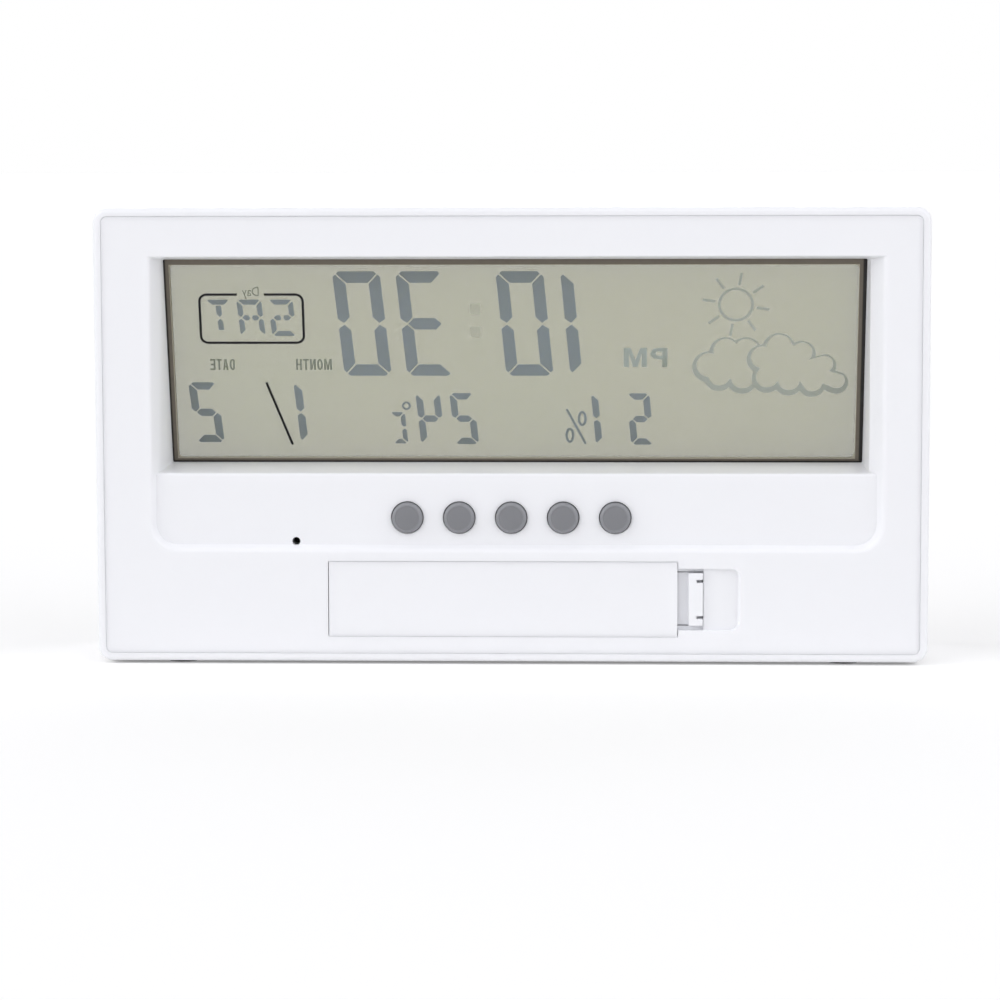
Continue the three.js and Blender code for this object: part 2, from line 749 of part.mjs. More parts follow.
function resetPlunger() {
  const reach = resetPlungerLength / 2;
  return drum(resetPlungerDiameter, resetX, resetZ, resetTop - reach, resetTop + reach);
}

function mainBoard() {
  const half = boardLength / 2;
  const blank = block(-half, half, -boardDepth - boardThickness, -boardDepth, boardBottom, boardTop);
  const holes = screwSpreads.map((x) =>
    drum(screwDiameter + 2 * play, x, screwZ, boardDepth - 1, boardDepth + boardThickness + 1),
  );
  return cut(solid(blank), holes);
}

function boardScrew(x) {
  const seat = boardDepth + boardThickness + touch;
  const head = screwHeadDiameter / 2;
  const shank = screwDiameter / 2;
  const profile = [
    [0, seat + screwHeadHeight],
    [head * 0.7, seat + screwHeadHeight],
    [head, seat + screwHeadHeight / 2],
    [head, seat],
    [shank, seat],
    [shank, seat - screwLength + shank],
    [0, seat - screwLength],
  ];
  return turned(profile, x, screwZ, smallSegments);
}

// Components on the board's front side; each sits on the copper face.
const boardFace = boardDepth + boardThickness + touch;

// The chip under its drop of resin, a low dome.
function chipCover() {
  const radius = chipDiameter / 2;
  const rise = boardFace + chipHeight;
  const dome = new THREE.Path();
  dome.moveTo(0, rise);
  dome.bezierCurveTo(radius / 2, rise, radius, boardFace + chipHeight * 0.7, radius, boardFace);
  dome.lineTo(0, boardFace);
  const profile = dome.getPoints(2 * filletSteps).map((p) => [p.x, p.y]);
  return turned(profile, chipX, boardZ, smallSegments);
}

function crystal() {
  const radius = crystalDiameter / 2;
  const can = new THREE.CylinderGeometry(radius, radius, crystalLength, smallSegments).rotateZ(Math.PI / 2);
  return can.translate(crystalX, -boardFace - radius, boardZ);
}

// An upright can with a crimped groove near the board.
function capacitor() {
  const radius = capacitorDiameter / 2;
  const crimp = capacitorHeight / 7;
  const bevel = 0.3;
  const profile = [
    [0, capacitorHeight],
    [radius - bevel, capacitorHeight],
    [radius, capacitorHeight - bevel],
    [radius, 1.4 * crimp],
    [radius - bevel, crimp],
    [radius, 0.6 * crimp],
    [radius, 0],
    [0, 0],
  ];
  return turned(profile.map(([r, rise]) => [r, boardFace + rise]), capacitorX, boardZ, smallSegments);
}

// A flat case with slots that let the air in.
function humiditySensor() {
  const [left, right] = [sensorX - sensorWidth / 2, sensorX + sensorWidth / 2];
  const [low, high] = [boardZ - sensorHeight / 2, boardZ + sensorHeight / 2];
  const frame = solid(block(left, right, -boardFace - sensorThickness, -boardFace, low, high));
  const half = sensorSlotLength / 2;
  const floor = -boardFace - sensorThickness / 2;
  const slots = Array.from({ length: sensorSlots }, (_, i) => {
    const z = boardZ + (i - (sensorSlots - 1) / 2) * sensorSlotPitch;
    const [from, to] = [z - sensorSlotWidth / 2, z + sensorSlotWidth / 2];
    return block(sensorX - half, sensorX + half, -boardFace - sensorThickness - 1, floor, from, to);
  });
  return cut(frame, slots);
}

// A resin bead on its two leads, which are drawn as one stem.
function thermistor() {
  const bead = new THREE.Path();
  const radius = beadDiameter / 2;
  const middle = (beadTop + beadLift) / 2;
  bead.moveTo(0, beadTop);
  bead.quadraticCurveTo(radius, beadTop, radius, middle);
  bead.quadraticCurveTo(radius, beadLift, leadDiameter / 2, beadLift);
  bead.lineTo(leadDiameter / 2, 0).lineTo(0, 0);
  const profile = bead.getPoints(filletSteps).map((p) => [p.x, boardFace + p.y]);
  return turned(profile, thermistorX, boardZ, smallSegments);
}

// The flat flexible strip from the glass's contact ledge to the board, hanging in one bend.
function contactStrip() {
  const half = stripWidth / 2;
  const ledgeV = -displayHalf - glassLap - contactLedge / 2;
  const ledgeW = glassRear + glassPlate - slip - stripThickness / 2;
  const startY = displayY(displayZ) + ledgeV * sinLean - ledgeW * cosLean;
  const startZ = displayZ + ledgeV * cosLean + ledgeW * sinLean;
  const endY = -boardFace - stripThickness / 2;
  const dip = boardBottom + stripDip;
  const path = new THREE.CubicBezierCurve(
    new THREE.Vector2(startY, startZ),
    new THREE.Vector2(startY - 4 * sinLean, dip - 4),
    new THREE.Vector2(endY, dip - 6),
    new THREE.Vector2(endY, boardZ + 3),
  );
  const steps = 14;
  const edge = (offset) =>
    Array.from({ length: steps + 1 }, (_, i) => {
      const point = path.getPoint(i / steps);
      const way = path.getTangent(i / steps);
      return new THREE.Vector2(-(point.y + way.x * offset), point.x - way.y * offset);
    });
  const section = new THREE.Shape([...edge(stripThickness / 2), ...edge(-stripThickness / 2).reverse()]);
  return pulledAcross(section, stripShift - half, stripShift + half, 0);
}

function lcdGlass() {
  const half = windowHalf + glassLap;
  const low = -displayHalf - glassLap;
  const high = displayHalf + glassLap;
  const middle = glassRear + glassPlate;
  return joined([
    layer(half, low, high, glassRear, middle + 0.1),
    layer(half, low - contactLedge, high, middle, glassFront),
  ]);
}

function gasket() {
  const half = windowHalf + mouldWall;
  const reach = displayHalf + mouldWall;
  const inner = windowHalf - gasketShow;
  const [low, high] = [gasketShowBelow - displayHalf, displayHalf - gasketShow];
  const opening = layer(inner, low, high, 0, gasketFront + 1, bezelCorner).translate(gasketShift, 0, 0);
  return cut(solid(layer(half, -reach, reach, slip, gasketFront)), [opening]);
}

function film(rear, front) {
  const reach = displayHalf + filmLap;
  return layer(windowHalf + filmLap, -reach, reach, rear, front);
}

// The cell lies along X with its flat end on the spring.
function batteryCell() {
  const radius = batteryDiameter / 2;
  const nub = nubDiameter / 2;
  const body = batteryLength - nubLength;
  const profile = [
    [0, 0],
    [radius * 0.62, 0],
    [radius * 0.66, 0.4],
    [radius - 0.6, 0.4],
    [radius, 1],
    [radius, body - 1],
    [radius - 0.6, body - 0.2],
    [nub + 0.5, body],
    [nub, body + 0.1],
    [nub, batteryLength - 0.3],
    [nub - 0.3, batteryLength],
    [0, batteryLength],
  ];
  const points = profile.map(([r, along]) => new THREE.Vector2(r, along));
  const cell = new THREE.LatheGeometry(points, 24).rotateZ(Math.PI / 2);
  return cell.translate(springWallX - springRoom, -bayAxisDepth, coverZ);
}

function contactPlate(x) {
  const half = contactWidth / 2;
  const tail = tailWidth / 2;
  const right = x + contactThickness;
  return [
    block(x, right, -bayAxisDepth - half, -bayAxisDepth + half, coverZ - half, coverZ + half),
    block(x, right, -tailDepth - tail, -tailDepth + tail, coverZ, bayTop + tailRise),
  ];
}

class ConicalCoil extends THREE.Curve {
  getPoint(t, target = new THREE.Vector3()) {
    const angle = t * springTurns * 2 * Math.PI;
    const radius = THREE.MathUtils.lerp(springBaseDiameter, springEndDiameter, t) / 2;
    const length = springRoom - contactThickness - touch - springWire - slip;
    return target.set(-length * t, radius * Math.cos(angle), radius * Math.sin(angle));
  }
}

// A tube round a curve, closed at both ends, from a regular section.
function tube(curve, diameter, steps, sides) {
  const section = new THREE.Shape();
  section.absarc(0, 0, diameter / 2, 0, 2 * Math.PI);
  return new THREE.ExtrudeGeometry(section, { extrudePath: curve, steps, curveSegments: sides });
}

function springContact() {
  const [x] = tailPlaces();
  const coil = tube(new ConicalCoil(), springWire, springTurns * 8, 5);
  coil.translate(x - springWire / 2 + 0.05, -bayAxisDepth, coverZ);
  return joined([...contactPlate(x), coil]);
}

function positiveContact() {
  const [, x] = tailPlaces();
  const bump = new THREE.CylinderGeometry(2, 2.6, 0.8, smallSegments).rotateZ(-Math.PI / 2);
  return joined([...contactPlate(x), bump.translate(x + contactThickness + 0.3, -bayAxisDepth, coverZ)]);
}

// A wire that leaves one point, bows through a second and ends at a third.
function wire(points) {
  const curve = new THREE.CatmullRomCurve3(points.map((p) => new THREE.Vector3(...p)));
  return tube(curve, wireDiameter, 12, 8);
}

function batteryWire(x) {
  const tail = [x, -tailDepth, bayTop + tailRise + slip];
  const [tailX, tailY, tailZ] = tail;
  const rise = [tailX, tailY, tailZ + 1.2];
  const bow = [tailX - wireRun / 2, tailY + 1.3, tailZ + 2.6];
  const fall = [tailX - wireRun, -boardDepth + slip + 1.2, tailZ + 3];
  const pad = [tailX - wireRun, -boardDepth + slip, tailZ + 3];
  return wire([tail, rise, bow, fall, pad]);
}

function buzzerWire(offset) {
  const face = -plateThickness - touch - buzzerDiscThickness - slip;
  const x = buzzerX - wireRun + offset;
  const disc = [buzzerX + offset, face, coverZ + offset];
  const lift = [buzzerX + offset, face - 1.2, coverZ + offset];
  const rise = [x, (face - boardDepth) / 2, boardBottom - 1.5];
  const fall = [x, -boardDepth + slip + 1.2, boardBottom + 2];
  const pad = [x, -boardDepth + slip, boardBottom + 2];
  return wire([disc, lift, rise, fall, pad]);
}

// A brass disc with the smaller ceramic disc on it.
function buzzer() {
  const face = plateThickness + touch;
  const layers = [[buzzerDiameter, buzzerDiscThickness * 0.6], [ceramicDiameter, buzzerDiscThickness]];
  return joined(
    layers.map(([diameter, height]) => drum(diameter, buzzerX, coverZ, face, face + height, buttonSegments)),
  );
}

// The cover's plate with its two hinge tabs and the first leg of the latch's spring.
function batteryCover() {
  const right = hingeX - coverGap;
  const left = latchX + coverGap;
  const tabTop = -plateThickness - seam;
  const tabEnd = tabTop - tabThickness;
  const tabs = [-tabSpread, tabSpread].flatMap((z) => {
    const [low, high] = [coverZ + z - tabWidth / 2, coverZ + z + tabWidth / 2];
    return [
      block(right - tabRoot, right - touch, tabEnd, -coverThickness / 2, low, high),
      block(right - tabRoot, right + tabReach, tabEnd, tabTop, low, high),
    ];
  });
  const plate = pulledAcross(coverSection(coverHalf, 0, -coverThickness), left, right, coverZ);
  return joined([plate, ...tabs, springHalf(1, coverThickness / 2)]);
}

// Half of the U-shaped spring: the leg that hangs from the cover (hand 1) or carries the head (hand -1).
function springHalf(hand, topDepth) {
  const thick = springLegThickness / 2;
  const radius = springLegSpan / 2;
  const legAngle = hand > 0 ? 0 : -Math.PI;
  const gapAngle = -Math.PI / 2 + (hand * springGap) / springLegSpan;
  const half = new THREE.Shape();
  half.moveTo(springX + hand * (radius - thick), -topDepth);
  half.lineTo(springX + hand * (radius + thick), -topDepth);
  half.absarc(springX, -springLegDepth, radius + thick, legAngle, gapAngle, hand > 0);
  half.absarc(springX, -springLegDepth, radius - thick, gapAngle, legAngle, hand < 0);
  return pulledUp(half, coverZ - latchHeadHeight / 2, coverZ + latchHeadHeight / 2);
}

function coverLatch() {
  const half = latchHeadHeight / 2;
  const top = -latchSink;
  const head = block(headX, headX + latchHead, top - latchHeadThickness, top, coverZ - half, coverZ + half);
  const pad = latchPadHeight / 2;
  const notches = [pad, -pad - latchNotchHeight].map((z) =>
    block(headX - 1, headX + latchNotch, -plateThickness - 1, 1, coverZ + z, coverZ + z + latchNotchHeight),
  );
  const webTop = top - latchHeadThickness;
  const webEnd = latchX + latchWebReach;
  const web = block(headX + latchHead - 0.5, webEnd, webTop - latchWeb, webTop, coverZ - half, coverZ + half);
  return cut(joined([head, web, springHalf(-1, latchSink + latchHeadThickness / 2)]), notches);
}

const station = new THREE.Group();
station.name = "weather_station";
const housing = new THREE.Group();
station.add(housing);
housing.add(display);

const shell = addPiece(housing, "front_housing", frontHousing(), finishes.whitePlastic);
addPiece(housing, "back_cover", backCover(), finishes.whitePlastic);
addPiece(housing, "battery_cover", batteryCover(), finishes.whitePlastic);
addPiece(housing, "cover_latch", coverLatch(), finishes.whitePlastic);

const [lensLow, lensHigh] = [bezelLow - lensLap, displayHalf + lensLap];
const lens = layer(windowHalf + lensLap, lensLow, lensHigh, lensRear, lensFront, lensCorner);
addPiece(display, "lcd_gasket", gasket(), finishes.darkFoam);
addPiece(display, "rear_polarizer", film(gasketFront + slip, rearFilmFront), finishes.filmPlastic);
addPiece(display, "lcd_glass", lcdGlass(), finishes.displayGlass);
addPiece(display, "front_polarizer", film(glassFront + slip, frontFilmFront), finishes.filmPlastic);
addPiece(display, "front_lens", lens, finishes.clearPlastic);
addPiece(housing, "contact_strip", contactStrip(), finishes.orangeFilm);

addPiece(housing, "main_board", mainBoard(), finishes.greenBoard);
addPiece(housing, "chip_cover", chipCover(), finishes.blackResin);
addPiece(housing, "crystal", crystal(), finishes.steel);
addPiece(housing, "capacitor", capacitor(), finishes.blackResin);
addPiece(housing, "humidity_sensor", humiditySensor(), finishes.sensorWhite);
addPiece(housing, "thermistor", thermistor(), finishes.blackResin);
buttonPlaces().forEach((x, i) => {
  addPiece(housing, `button_${i + 1}`, buttonCap(x), finishes.greyRubber);
  addPiece(housing, `tact_switch_${i + 1}`, tactSwitch(x), finishes.blackResin);
  addPiece(housing, `tact_plunger_${i + 1}`, tactPlunger(x), finishes.blackResin);
});
addPiece(housing, "reset_switch", resetSwitch(), finishes.steel);
addPiece(housing, "reset_plunger", resetPlunger(), finishes.blackResin);
screwSpreads.forEach((x, i) => addPiece(housing, `board_screw_${i + 1}`, boardScrew(x), finishes.steel));

addPiece(housing, "battery", batteryCell(), finishes.cellSleeve);
addPiece(housing, "spring_contact", springContact(), finishes.steel);
addPiece(housing, "positive_contact", positiveContact(), finishes.steel);
const [blackEnd, redEnd] = tailPlaces().map((x) => x + contactThickness / 2);
addPiece(housing, "battery_wire_black", batteryWire(blackEnd), finishes.blackWire);
addPiece(housing, "battery_wire_red", batteryWire(redEnd), finishes.redWire);
addPiece(housing, "buzzer", buzzer(), finishes.brass);
addPiece(housing, "buzzer_wire_black", buzzerWire(-2), finishes.blackWire);
addPiece(housing, "buzzer_wire_red", buzzerWire(2), finishes.redWire);
footPositions().forEach(([x, y], i) => {
  addPiece(housing, `foot_${i + 1}`, footDisc(x, y), finishes.blackRubber);
});

// The housing stands on its feet, with the middle of its depth over the origin.
shell.geometry.computeBoundingBox();
const { min, max } = shell.geometry.boundingBox;
housing.position.set(0, -(min.y + max.y) / 2, footThickness - footSink);

export default station;
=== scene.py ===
# %% [markdown]
# # A desk weather station with a see-through display
# This lesson dresses a white desk clock that also shows the weather. The clock is seen from behind: a
# recess with a window, five grey buttons, a battery cover with its latch, and a liquid crystal display
# that lets the background shine through. The construction is already there as a fixed frame of solids.
# Blender adds what light shows: softened edges, plastic, films, the ink of the display and the fine parts.

# %% Tools and the fixed frame
import math

import bmesh
import bpy
from mathutils import Matrix, Vector


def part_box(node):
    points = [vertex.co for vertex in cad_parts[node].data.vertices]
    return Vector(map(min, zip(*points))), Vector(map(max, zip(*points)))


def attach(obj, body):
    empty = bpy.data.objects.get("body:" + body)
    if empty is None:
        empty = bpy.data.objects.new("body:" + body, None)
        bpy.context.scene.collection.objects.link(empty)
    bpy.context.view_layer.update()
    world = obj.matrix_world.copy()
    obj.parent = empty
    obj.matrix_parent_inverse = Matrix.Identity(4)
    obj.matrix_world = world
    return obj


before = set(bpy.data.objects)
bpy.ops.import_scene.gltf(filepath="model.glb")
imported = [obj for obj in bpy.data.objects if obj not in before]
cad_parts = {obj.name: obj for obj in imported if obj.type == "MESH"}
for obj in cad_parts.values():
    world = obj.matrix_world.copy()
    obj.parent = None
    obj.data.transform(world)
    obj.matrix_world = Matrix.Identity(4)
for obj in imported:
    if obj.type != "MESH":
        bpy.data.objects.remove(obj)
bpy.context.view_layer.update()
MM = 0.001
scene = bpy.context.scene
scene.view_settings.view_transform = "Standard"

# %% [markdown]
# ## The camera
# The picture was taken from behind with a long lens, a little to the right of the middle and slightly from
# above. Turning the camera in three steps keeps each angle readable: first how far it looks down, then
# which way it faces, and a very small roll about its own line of sight.

# %% Camera
CAMERA_PLACE = Vector((-26.3, 747.1, 112.7)) * MM
LOOKS_DOWN = math.radians(6.16)
TURNED = math.radians(182.24)
ROLL = math.radians(-0.16)
LENS = 129.6
FILM_WIDTH = 36
NEAREST = 10 * MM

camera_data = bpy.data.cameras.new("camera")
camera_data.lens = LENS
camera_data.sensor_width = FILM_WIDTH
camera_data.clip_start = NEAREST
camera = bpy.data.objects.new("camera", camera_data)
tilt = Matrix.Rotation(math.pi / 2 - LOOKS_DOWN, 4, "X")
camera.matrix_world = (
    Matrix.Translation(CAMERA_PLACE)
    @ Matrix.Rotation(TURNED, 4, "Z")
    @ tilt
    @ Matrix.Rotation(ROLL, 4, "Z")
)
scene.collection.objects.link(camera)
scene.camera = camera
print("camera lens:", LENS, "mm")

# %% [markdown]
# ## Sums on sockets
# A material or a geometry recipe is a tree of nodes, and sums in it soon become unreadable. A small class
# wraps one socket, so that a Python expression such as `1 - mask` adds the Math node by itself. Every
# other node comes from one function: it takes the node's type, its settings and what goes in. Colours go
# through a Mix node. Its sockets for numbers and for colours share their names, so it is filled by number.


# %% Wrapped sockets and one way to add a node
class Value:
    """One output socket of a tree. Sums and comparisons on it add Math nodes to the same tree."""

    def __init__(self, tree, socket):
        self.tree = tree
        self.socket = socket

    def math(self, operation, *others):
        return add_node(self.tree, "ShaderNodeMath", {"operation": operation}, {
            place: value for place, value in enumerate((self, *others))
        })

    def __add__(self, other):
        return self.math("ADD", other)

    def __radd__(self, other):
        return self.math("ADD", other)

    def __sub__(self, other):
        return self.math("SUBTRACT", other)

    def __rsub__(self, other):
        return (self * -1.0).math("ADD", other)

    def __mul__(self, other):
        return self.math("MULTIPLY", other)

    def __rmul__(self, other):
        return self.math("MULTIPLY", other)

    def __rtruediv__(self, other):
        return self.math("POWER", -1.0) * other

    def __gt__(self, other):
        return self.math("GREATER_THAN", other)

    def __lt__(self, other):
        return self.math("LESS_THAN", other)

    def __abs__(self):
        return self.math("ABSOLUTE")


def add_node(tree, kind, settings=None, inputs=None, output=0):
    """Adds one node, makes its settings first, then fills its sockets with values or links."""
    node = tree.nodes.new(kind)
    for name, setting in (settings or {}).items():
        setattr(node, name, setting)
    for name, value in (inputs or {}).items():
        fill_socket(tree, node.inputs[name], value)
    return Value(tree, node.outputs[output])


def fill_socket(tree, socket, value):
    """Links a wrapped socket to an input, or writes a plain value into it."""
    if isinstance(value, Value):
        tree.links.new(value.socket, socket)
    else:
        socket.default_value = value


COLOR_A, COLOR_B, COLOR_RESULT = 6, 7, 2


def mix_colors(tree, factor, first, second):
    """Goes from one colour to another as a factor goes from 0 to 1."""
    first, second = ((*color, 1) if isinstance(color, tuple) else color for color in (first, second))
    return add_node(tree, "ShaderNodeMix", {"data_type": "RGBA"}, {
        "Factor": factor, COLOR_A: first, COLOR_B: second,
    }, output=COLOR_RESULT)


print("sums ready")

# %% [markdown]
# ## The finish of a piece
# Most finishes here are one Principled shader with a little variation in it. Numbers that are the same all
# over go straight into the shader's own sockets, and only what changes over the surface is linked. The
# patterns read Object coordinates, which are metres from the station's origin, so the grain has a real size.


# %% A class for finishes
class Finish:
    """A material with one Principled shader, and helpers for the patterns that feed it."""

    def __init__(self, name, **numbers):
        self.material = bpy.data.materials.new(name)
        self.material.use_nodes = True
        self.tree = self.material.node_tree
        self.shader = self.tree.nodes["Principled BSDF"]
        for socket, value in numbers.items():
            self.set(socket.replace("_", " ").title(), value)

    def set(self, socket, value):
        fill_socket(self.tree, self.shader.inputs[socket], value)

    def add(self, kind, settings=None, inputs=None, output=0):
        return add_node(self.tree, kind, settings, inputs, output)

    def place(self):
        return self.add("ShaderNodeTexCoord", output="Object")

    def axis(self, letter):
        return self.add("ShaderNodeSeparateXYZ", inputs={"Vector": self.place()}, output=letter)

    def along(self, direction, origin):
        """How far a point lies from an origin, measured along a direction."""
        reach = self.add("ShaderNodeVectorMath", {"operation": "DOT_PRODUCT"}, {
            0: self.place(), 1: tuple(direction),
        }, output="Value")
        return reach - origin.dot(direction)

    def from_axis(self, centre):
        """How far a point lies from a line through a centre that runs from the front to the back."""
        sideways = self.along((1, 0, 0), centre)
        up = self.along((0, 0, 1), centre)
        return (sideways * sideways + up * up).math("SQRT")

    def ramp(self, value, low, high):
        """Rises from 0 to 1 while a value goes from low to high."""
        return self.add("ShaderNodeMapRange", inputs={"Value": value, "From Min": low, "From Max": high})

    def noise(self, per_metre, detail=3):
        return self.add("ShaderNodeTexNoise", inputs={
            "Vector": self.place(), "Scale": per_metre, "Detail": detail,
        })

    def drift(self, pattern, color, share):
        """A colour that a pattern makes darker and lighter by a share."""
        return self.mix(pattern, shaded(color, 1 - share), shaded(color, 1 + share))

    def mix(self, factor, first, second):
        return mix_colors(self.tree, factor, first, second)

    def bump(self, height, depth):
        """Raises the surface by up to a depth in metres."""
        self.set("Normal", self.add("ShaderNodeBump", inputs={
            "Strength": 1.0, "Distance": depth, "Height": height,
        }))


def shaded(color, share):
    """A colour with all its parts changed by a share."""
    return tuple(min(part * share, 1.0) for part in color)


print("finish class ready")

# %% [markdown]
# ## Daylight studio
# The object stands on a white table between two broad soft lights. The one on the left of the picture is
# stronger and makes the soft shadow on the right. A third and weaker one comes from the far side, for the
# object's front, and a pale, slightly cool world fills in the rest. The background has to be pure white
# without more light on the object, so the world and the table show white only to rays from the camera, in
# reflections and through clear plastic, and light the scene at their own plain level.

# %% World, light and table
WORLD_LEVEL = 0.385
WORLD_COLOR = (0.985, 0.99, 1.03)
SOFT_LIGHTS = {
    "left light": (Vector((0.9, 0.55, 0.64)), 1.42),
    "right light": (Vector((-0.9, 0.55, 0.64)), 1.14),
    "front light": (Vector((0, -1, 0.25)), 0.85),
}
LIGHT_SPREAD = math.radians(70)
TABLE_SIDE = 12.0
TABLE_COLOR = (0.95, 0.944, 0.922)
TABLE_LIFT = 0.178

world = bpy.data.worlds.new("daylight")
world.use_nodes = True
scene.world = world


def seen_directly(tree):
    """1 for rays from the camera, in reflections and through clear pieces, and 0 for all others."""
    names = ("Is Camera Ray", "Is Glossy Ray", "Is Transmission Ray")
    camera_ray, glossy_ray, clear_ray = (
        add_node(tree, "ShaderNodeLightPath", output=name) for name in names
    )
    return camera_ray.math("MAXIMUM", glossy_ray).math("MAXIMUM", clear_ray)


sky = world.node_tree
sky_strength = seen_directly(sky) * (1 - WORLD_LEVEL) + WORLD_LEVEL
fill_socket(sky, sky.nodes["Background"].inputs["Strength"], sky_strength)
sky_color = mix_colors(sky, seen_directly(sky), WORLD_COLOR, (1, 1, 1))
fill_socket(sky, sky.nodes["Background"].inputs["Color"], sky_color)

for name, (comes_from, level) in SOFT_LIGHTS.items():
    light_data = bpy.data.lights.new(name, "SUN")
    light_data.angle = LIGHT_SPREAD
    light_data.energy = level
    light_data.color = WORLD_COLOR
    light = bpy.data.objects.new(name, light_data)
    light.rotation_euler = (-comes_from).to_track_quat("-Z", "Y").to_euler()
    scene.collection.objects.link(light)

table_mesh = bpy.data.meshes.new("table")
reach = TABLE_SIDE / 2
table_corners = [(-reach, -reach, 0), (reach, -reach, 0), (reach, reach, 0), (-reach, reach, 0)]
table_mesh.from_pydata(table_corners, [], [(0, 1, 2, 3)])
table = bpy.data.objects.new("table", table_mesh)
scene.collection.objects.link(table)
table_finish = Finish("table top", base_color=(*TABLE_COLOR, 1), roughness=1.0, emission_color=(1, 1, 1, 1))
table_finish.set("Specular IOR Level", 0)
table_finish.set("Emission Strength", seen_directly(table_finish.tree) * TABLE_LIFT)
table_mesh.materials.append(table_finish.material)
print("lights:", len(SOFT_LIGHTS), "world level:", WORLD_LEVEL)

# %% [markdown]
# ## White moulded plastic
# The shell is satin white ABS with a cool tint. A perfectly even white looks like paper, so the colour
# drifts by about half a percent over a few centimetres, and a grain a few tenths of a millimetre wide
# breaks up the sheen, as spark-eroded moulds leave it. Light also goes about a millimetre deep into white
# plastic, which softens every groove and corner, so the finish has some subsurface scattering of that reach.

# %% White plastic
WHITE = (0.93, 0.935, 0.962)
DRIFT_PER_METRE = 45
GRAIN_PER_METRE = 3200
GLOSS_SPREAD = 0.12
DIFFUSED_SHARE = 0.4
LIGHT_REACH = 1.2 * MM


def satin(name, roughness):
    """A finish whose gloss varies with a fine grain, and the grain itself."""
    finish = Finish(name)
    grain = finish.noise(GRAIN_PER_METRE, detail=2)
    finish.set("Roughness", grain * GLOSS_SPREAD + (roughness - GLOSS_SPREAD / 2))
    return finish, grain


def moulded(name, color, roughness, grain_depth, drift):
    """Satin moulded plastic with a drifting colour and a fine grain."""
    finish, grain = satin(name, roughness)
    finish.set("Base Color", finish.drift(finish.noise(DRIFT_PER_METRE, detail=2), color, drift))
    finish.bump(grain, grain_depth)
    return finish


white = moulded("white plastic", WHITE, roughness=0.38, grain_depth=0.004 * MM, drift=0.006)
white.set("Subsurface Weight", DIFFUSED_SHARE)
white.set("Subsurface Radius", (1, 1, 1))
white.set("Subsurface Scale", LIGHT_REACH)
print("made", white.material.name)

# %% [markdown]
# ## The four mouldings
# Front housing, back plate, battery cover and latch have their true shapes in the frame already, but as
# loose flat triangles. Four modifiers finish them without moving anything: Weld joins the triangles,
# Decimate in its planar mode turns them back into whole faces, Bevel rounds the sharp edges by a sixth of a
# millimetre as a mould does, and Weighted Normal keeps the flat faces flat beside the rounded ones.

# %% Finish the mouldings
EDGE_ROUND = 0.16 * MM
ROUND_SEGMENTS = 2
WELD_REACH = 0.002 * MM
SHARP_ANGLE = math.radians(38)
FLAT_ANGLE = math.radians(0.4)


def weld(node):
    """Joins the loose triangles of a solid and shades them smooth."""
    for polygon in node.data.polygons:
        polygon.use_smooth = True
    welded = node.modifiers.new("joined triangles", "WELD")
    welded.merge_threshold = WELD_REACH


def finish_moulding(name, finish):
    """Joins a moulding's triangles, rounds its sharp edges and gives it a finish."""
    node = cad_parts[name]
    weld(node)
    flat = node.modifiers.new("whole faces", "DECIMATE")
    flat.decimate_type = "DISSOLVE"
    flat.angle_limit = FLAT_ANGLE
    soft = node.modifiers.new("soft edges", "BEVEL")
    soft.width = EDGE_ROUND
    soft.segments = ROUND_SEGMENTS
    soft.limit_method = "ANGLE"
    soft.angle_limit = SHARP_ANGLE
    even = node.modifiers.new("even shading", "WEIGHTED_NORMAL")
    even.keep_sharp = True
    dress(name, finish)


def dress(name, finish):
    """Gives a node of the frame its finish."""
    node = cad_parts[name]
    node.data.materials.clear()
    node.data.materials.append(finish.material)


for moulding in ("front_housing", "back_cover", "battery_cover", "cover_latch"):
    finish_moulding(moulding, white)
    print("finished", moulding)

# %% [markdown]
# ## Where the display lies
# The display leans, and everything drawn on it is flat. A matrix that carries drawing coordinates to the
# leaning plane lets the content be laid out in plain millimetres. The two polarizing films are equal and
# parallel, so the line between their middles gives the direction through the glass, and the point halfway
# is the liquid layer where the segments show. x runs to the right and y up as one reads it from the front.


# %% The plane of the display
def middle(name):
    """The middle of a solid's box."""
    low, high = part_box(name)
    return (low + high) / 2


outwards = (middle("front_polarizer") - middle("rear_polarizer")).normalized()
across = Vector((1, 0, 0))
upwards = outwards.cross(across)
cell_middle = (middle("front_polarizer") + middle("rear_polarizer")) / 2
display = Matrix.Translation(cell_middle) @ Matrix((across, upwards, outwards)).transposed().to_4x4()
lean = math.degrees(math.atan2(outwards.z, -outwards.y))
print("the display leans back by", round(lean, 2), "degrees")

# %% [markdown]
# ## Glass and films
# Seen against a white background the display is a warm grey-green. Nearly all of that tint comes from the
# two polarizing films, while the glass and the front lens stay almost clear. Alpha is the honest tool here:
# each face takes its share of the light, the floor and the sky shine through, and the result also works in
# viewers that know no refraction.

# %% Clear pieces
FILM_TINT = (0.242, 0.266, 0.016)
FILM_WARM_TINT = (0.285, 0.262, 0.022)
FILM_COVER = 0.205
GLASS_TINT = (0.62, 0.66, 0.6)
GLASS_COVER = 0.06
LENS_TINT = (0.9, 0.92, 0.92)
LENS_COVER = 0.04
TINT_PER_METRE = 28
SMEARS_PER_METRE = 400
SMEAR_SPREAD = 0.03


def clear(name, tint, other_tint, roughness, cover):
    """A see-through finish whose tint drifts slowly, with a faint unevenness in its gloss."""
    finish = Finish(name, alpha=cover)
    finish.set("Base Color", finish.mix(finish.noise(TINT_PER_METRE, detail=1), tint, other_tint))
    finish.set("Roughness", finish.noise(SMEARS_PER_METRE, detail=1) * SMEAR_SPREAD + roughness)
    return finish


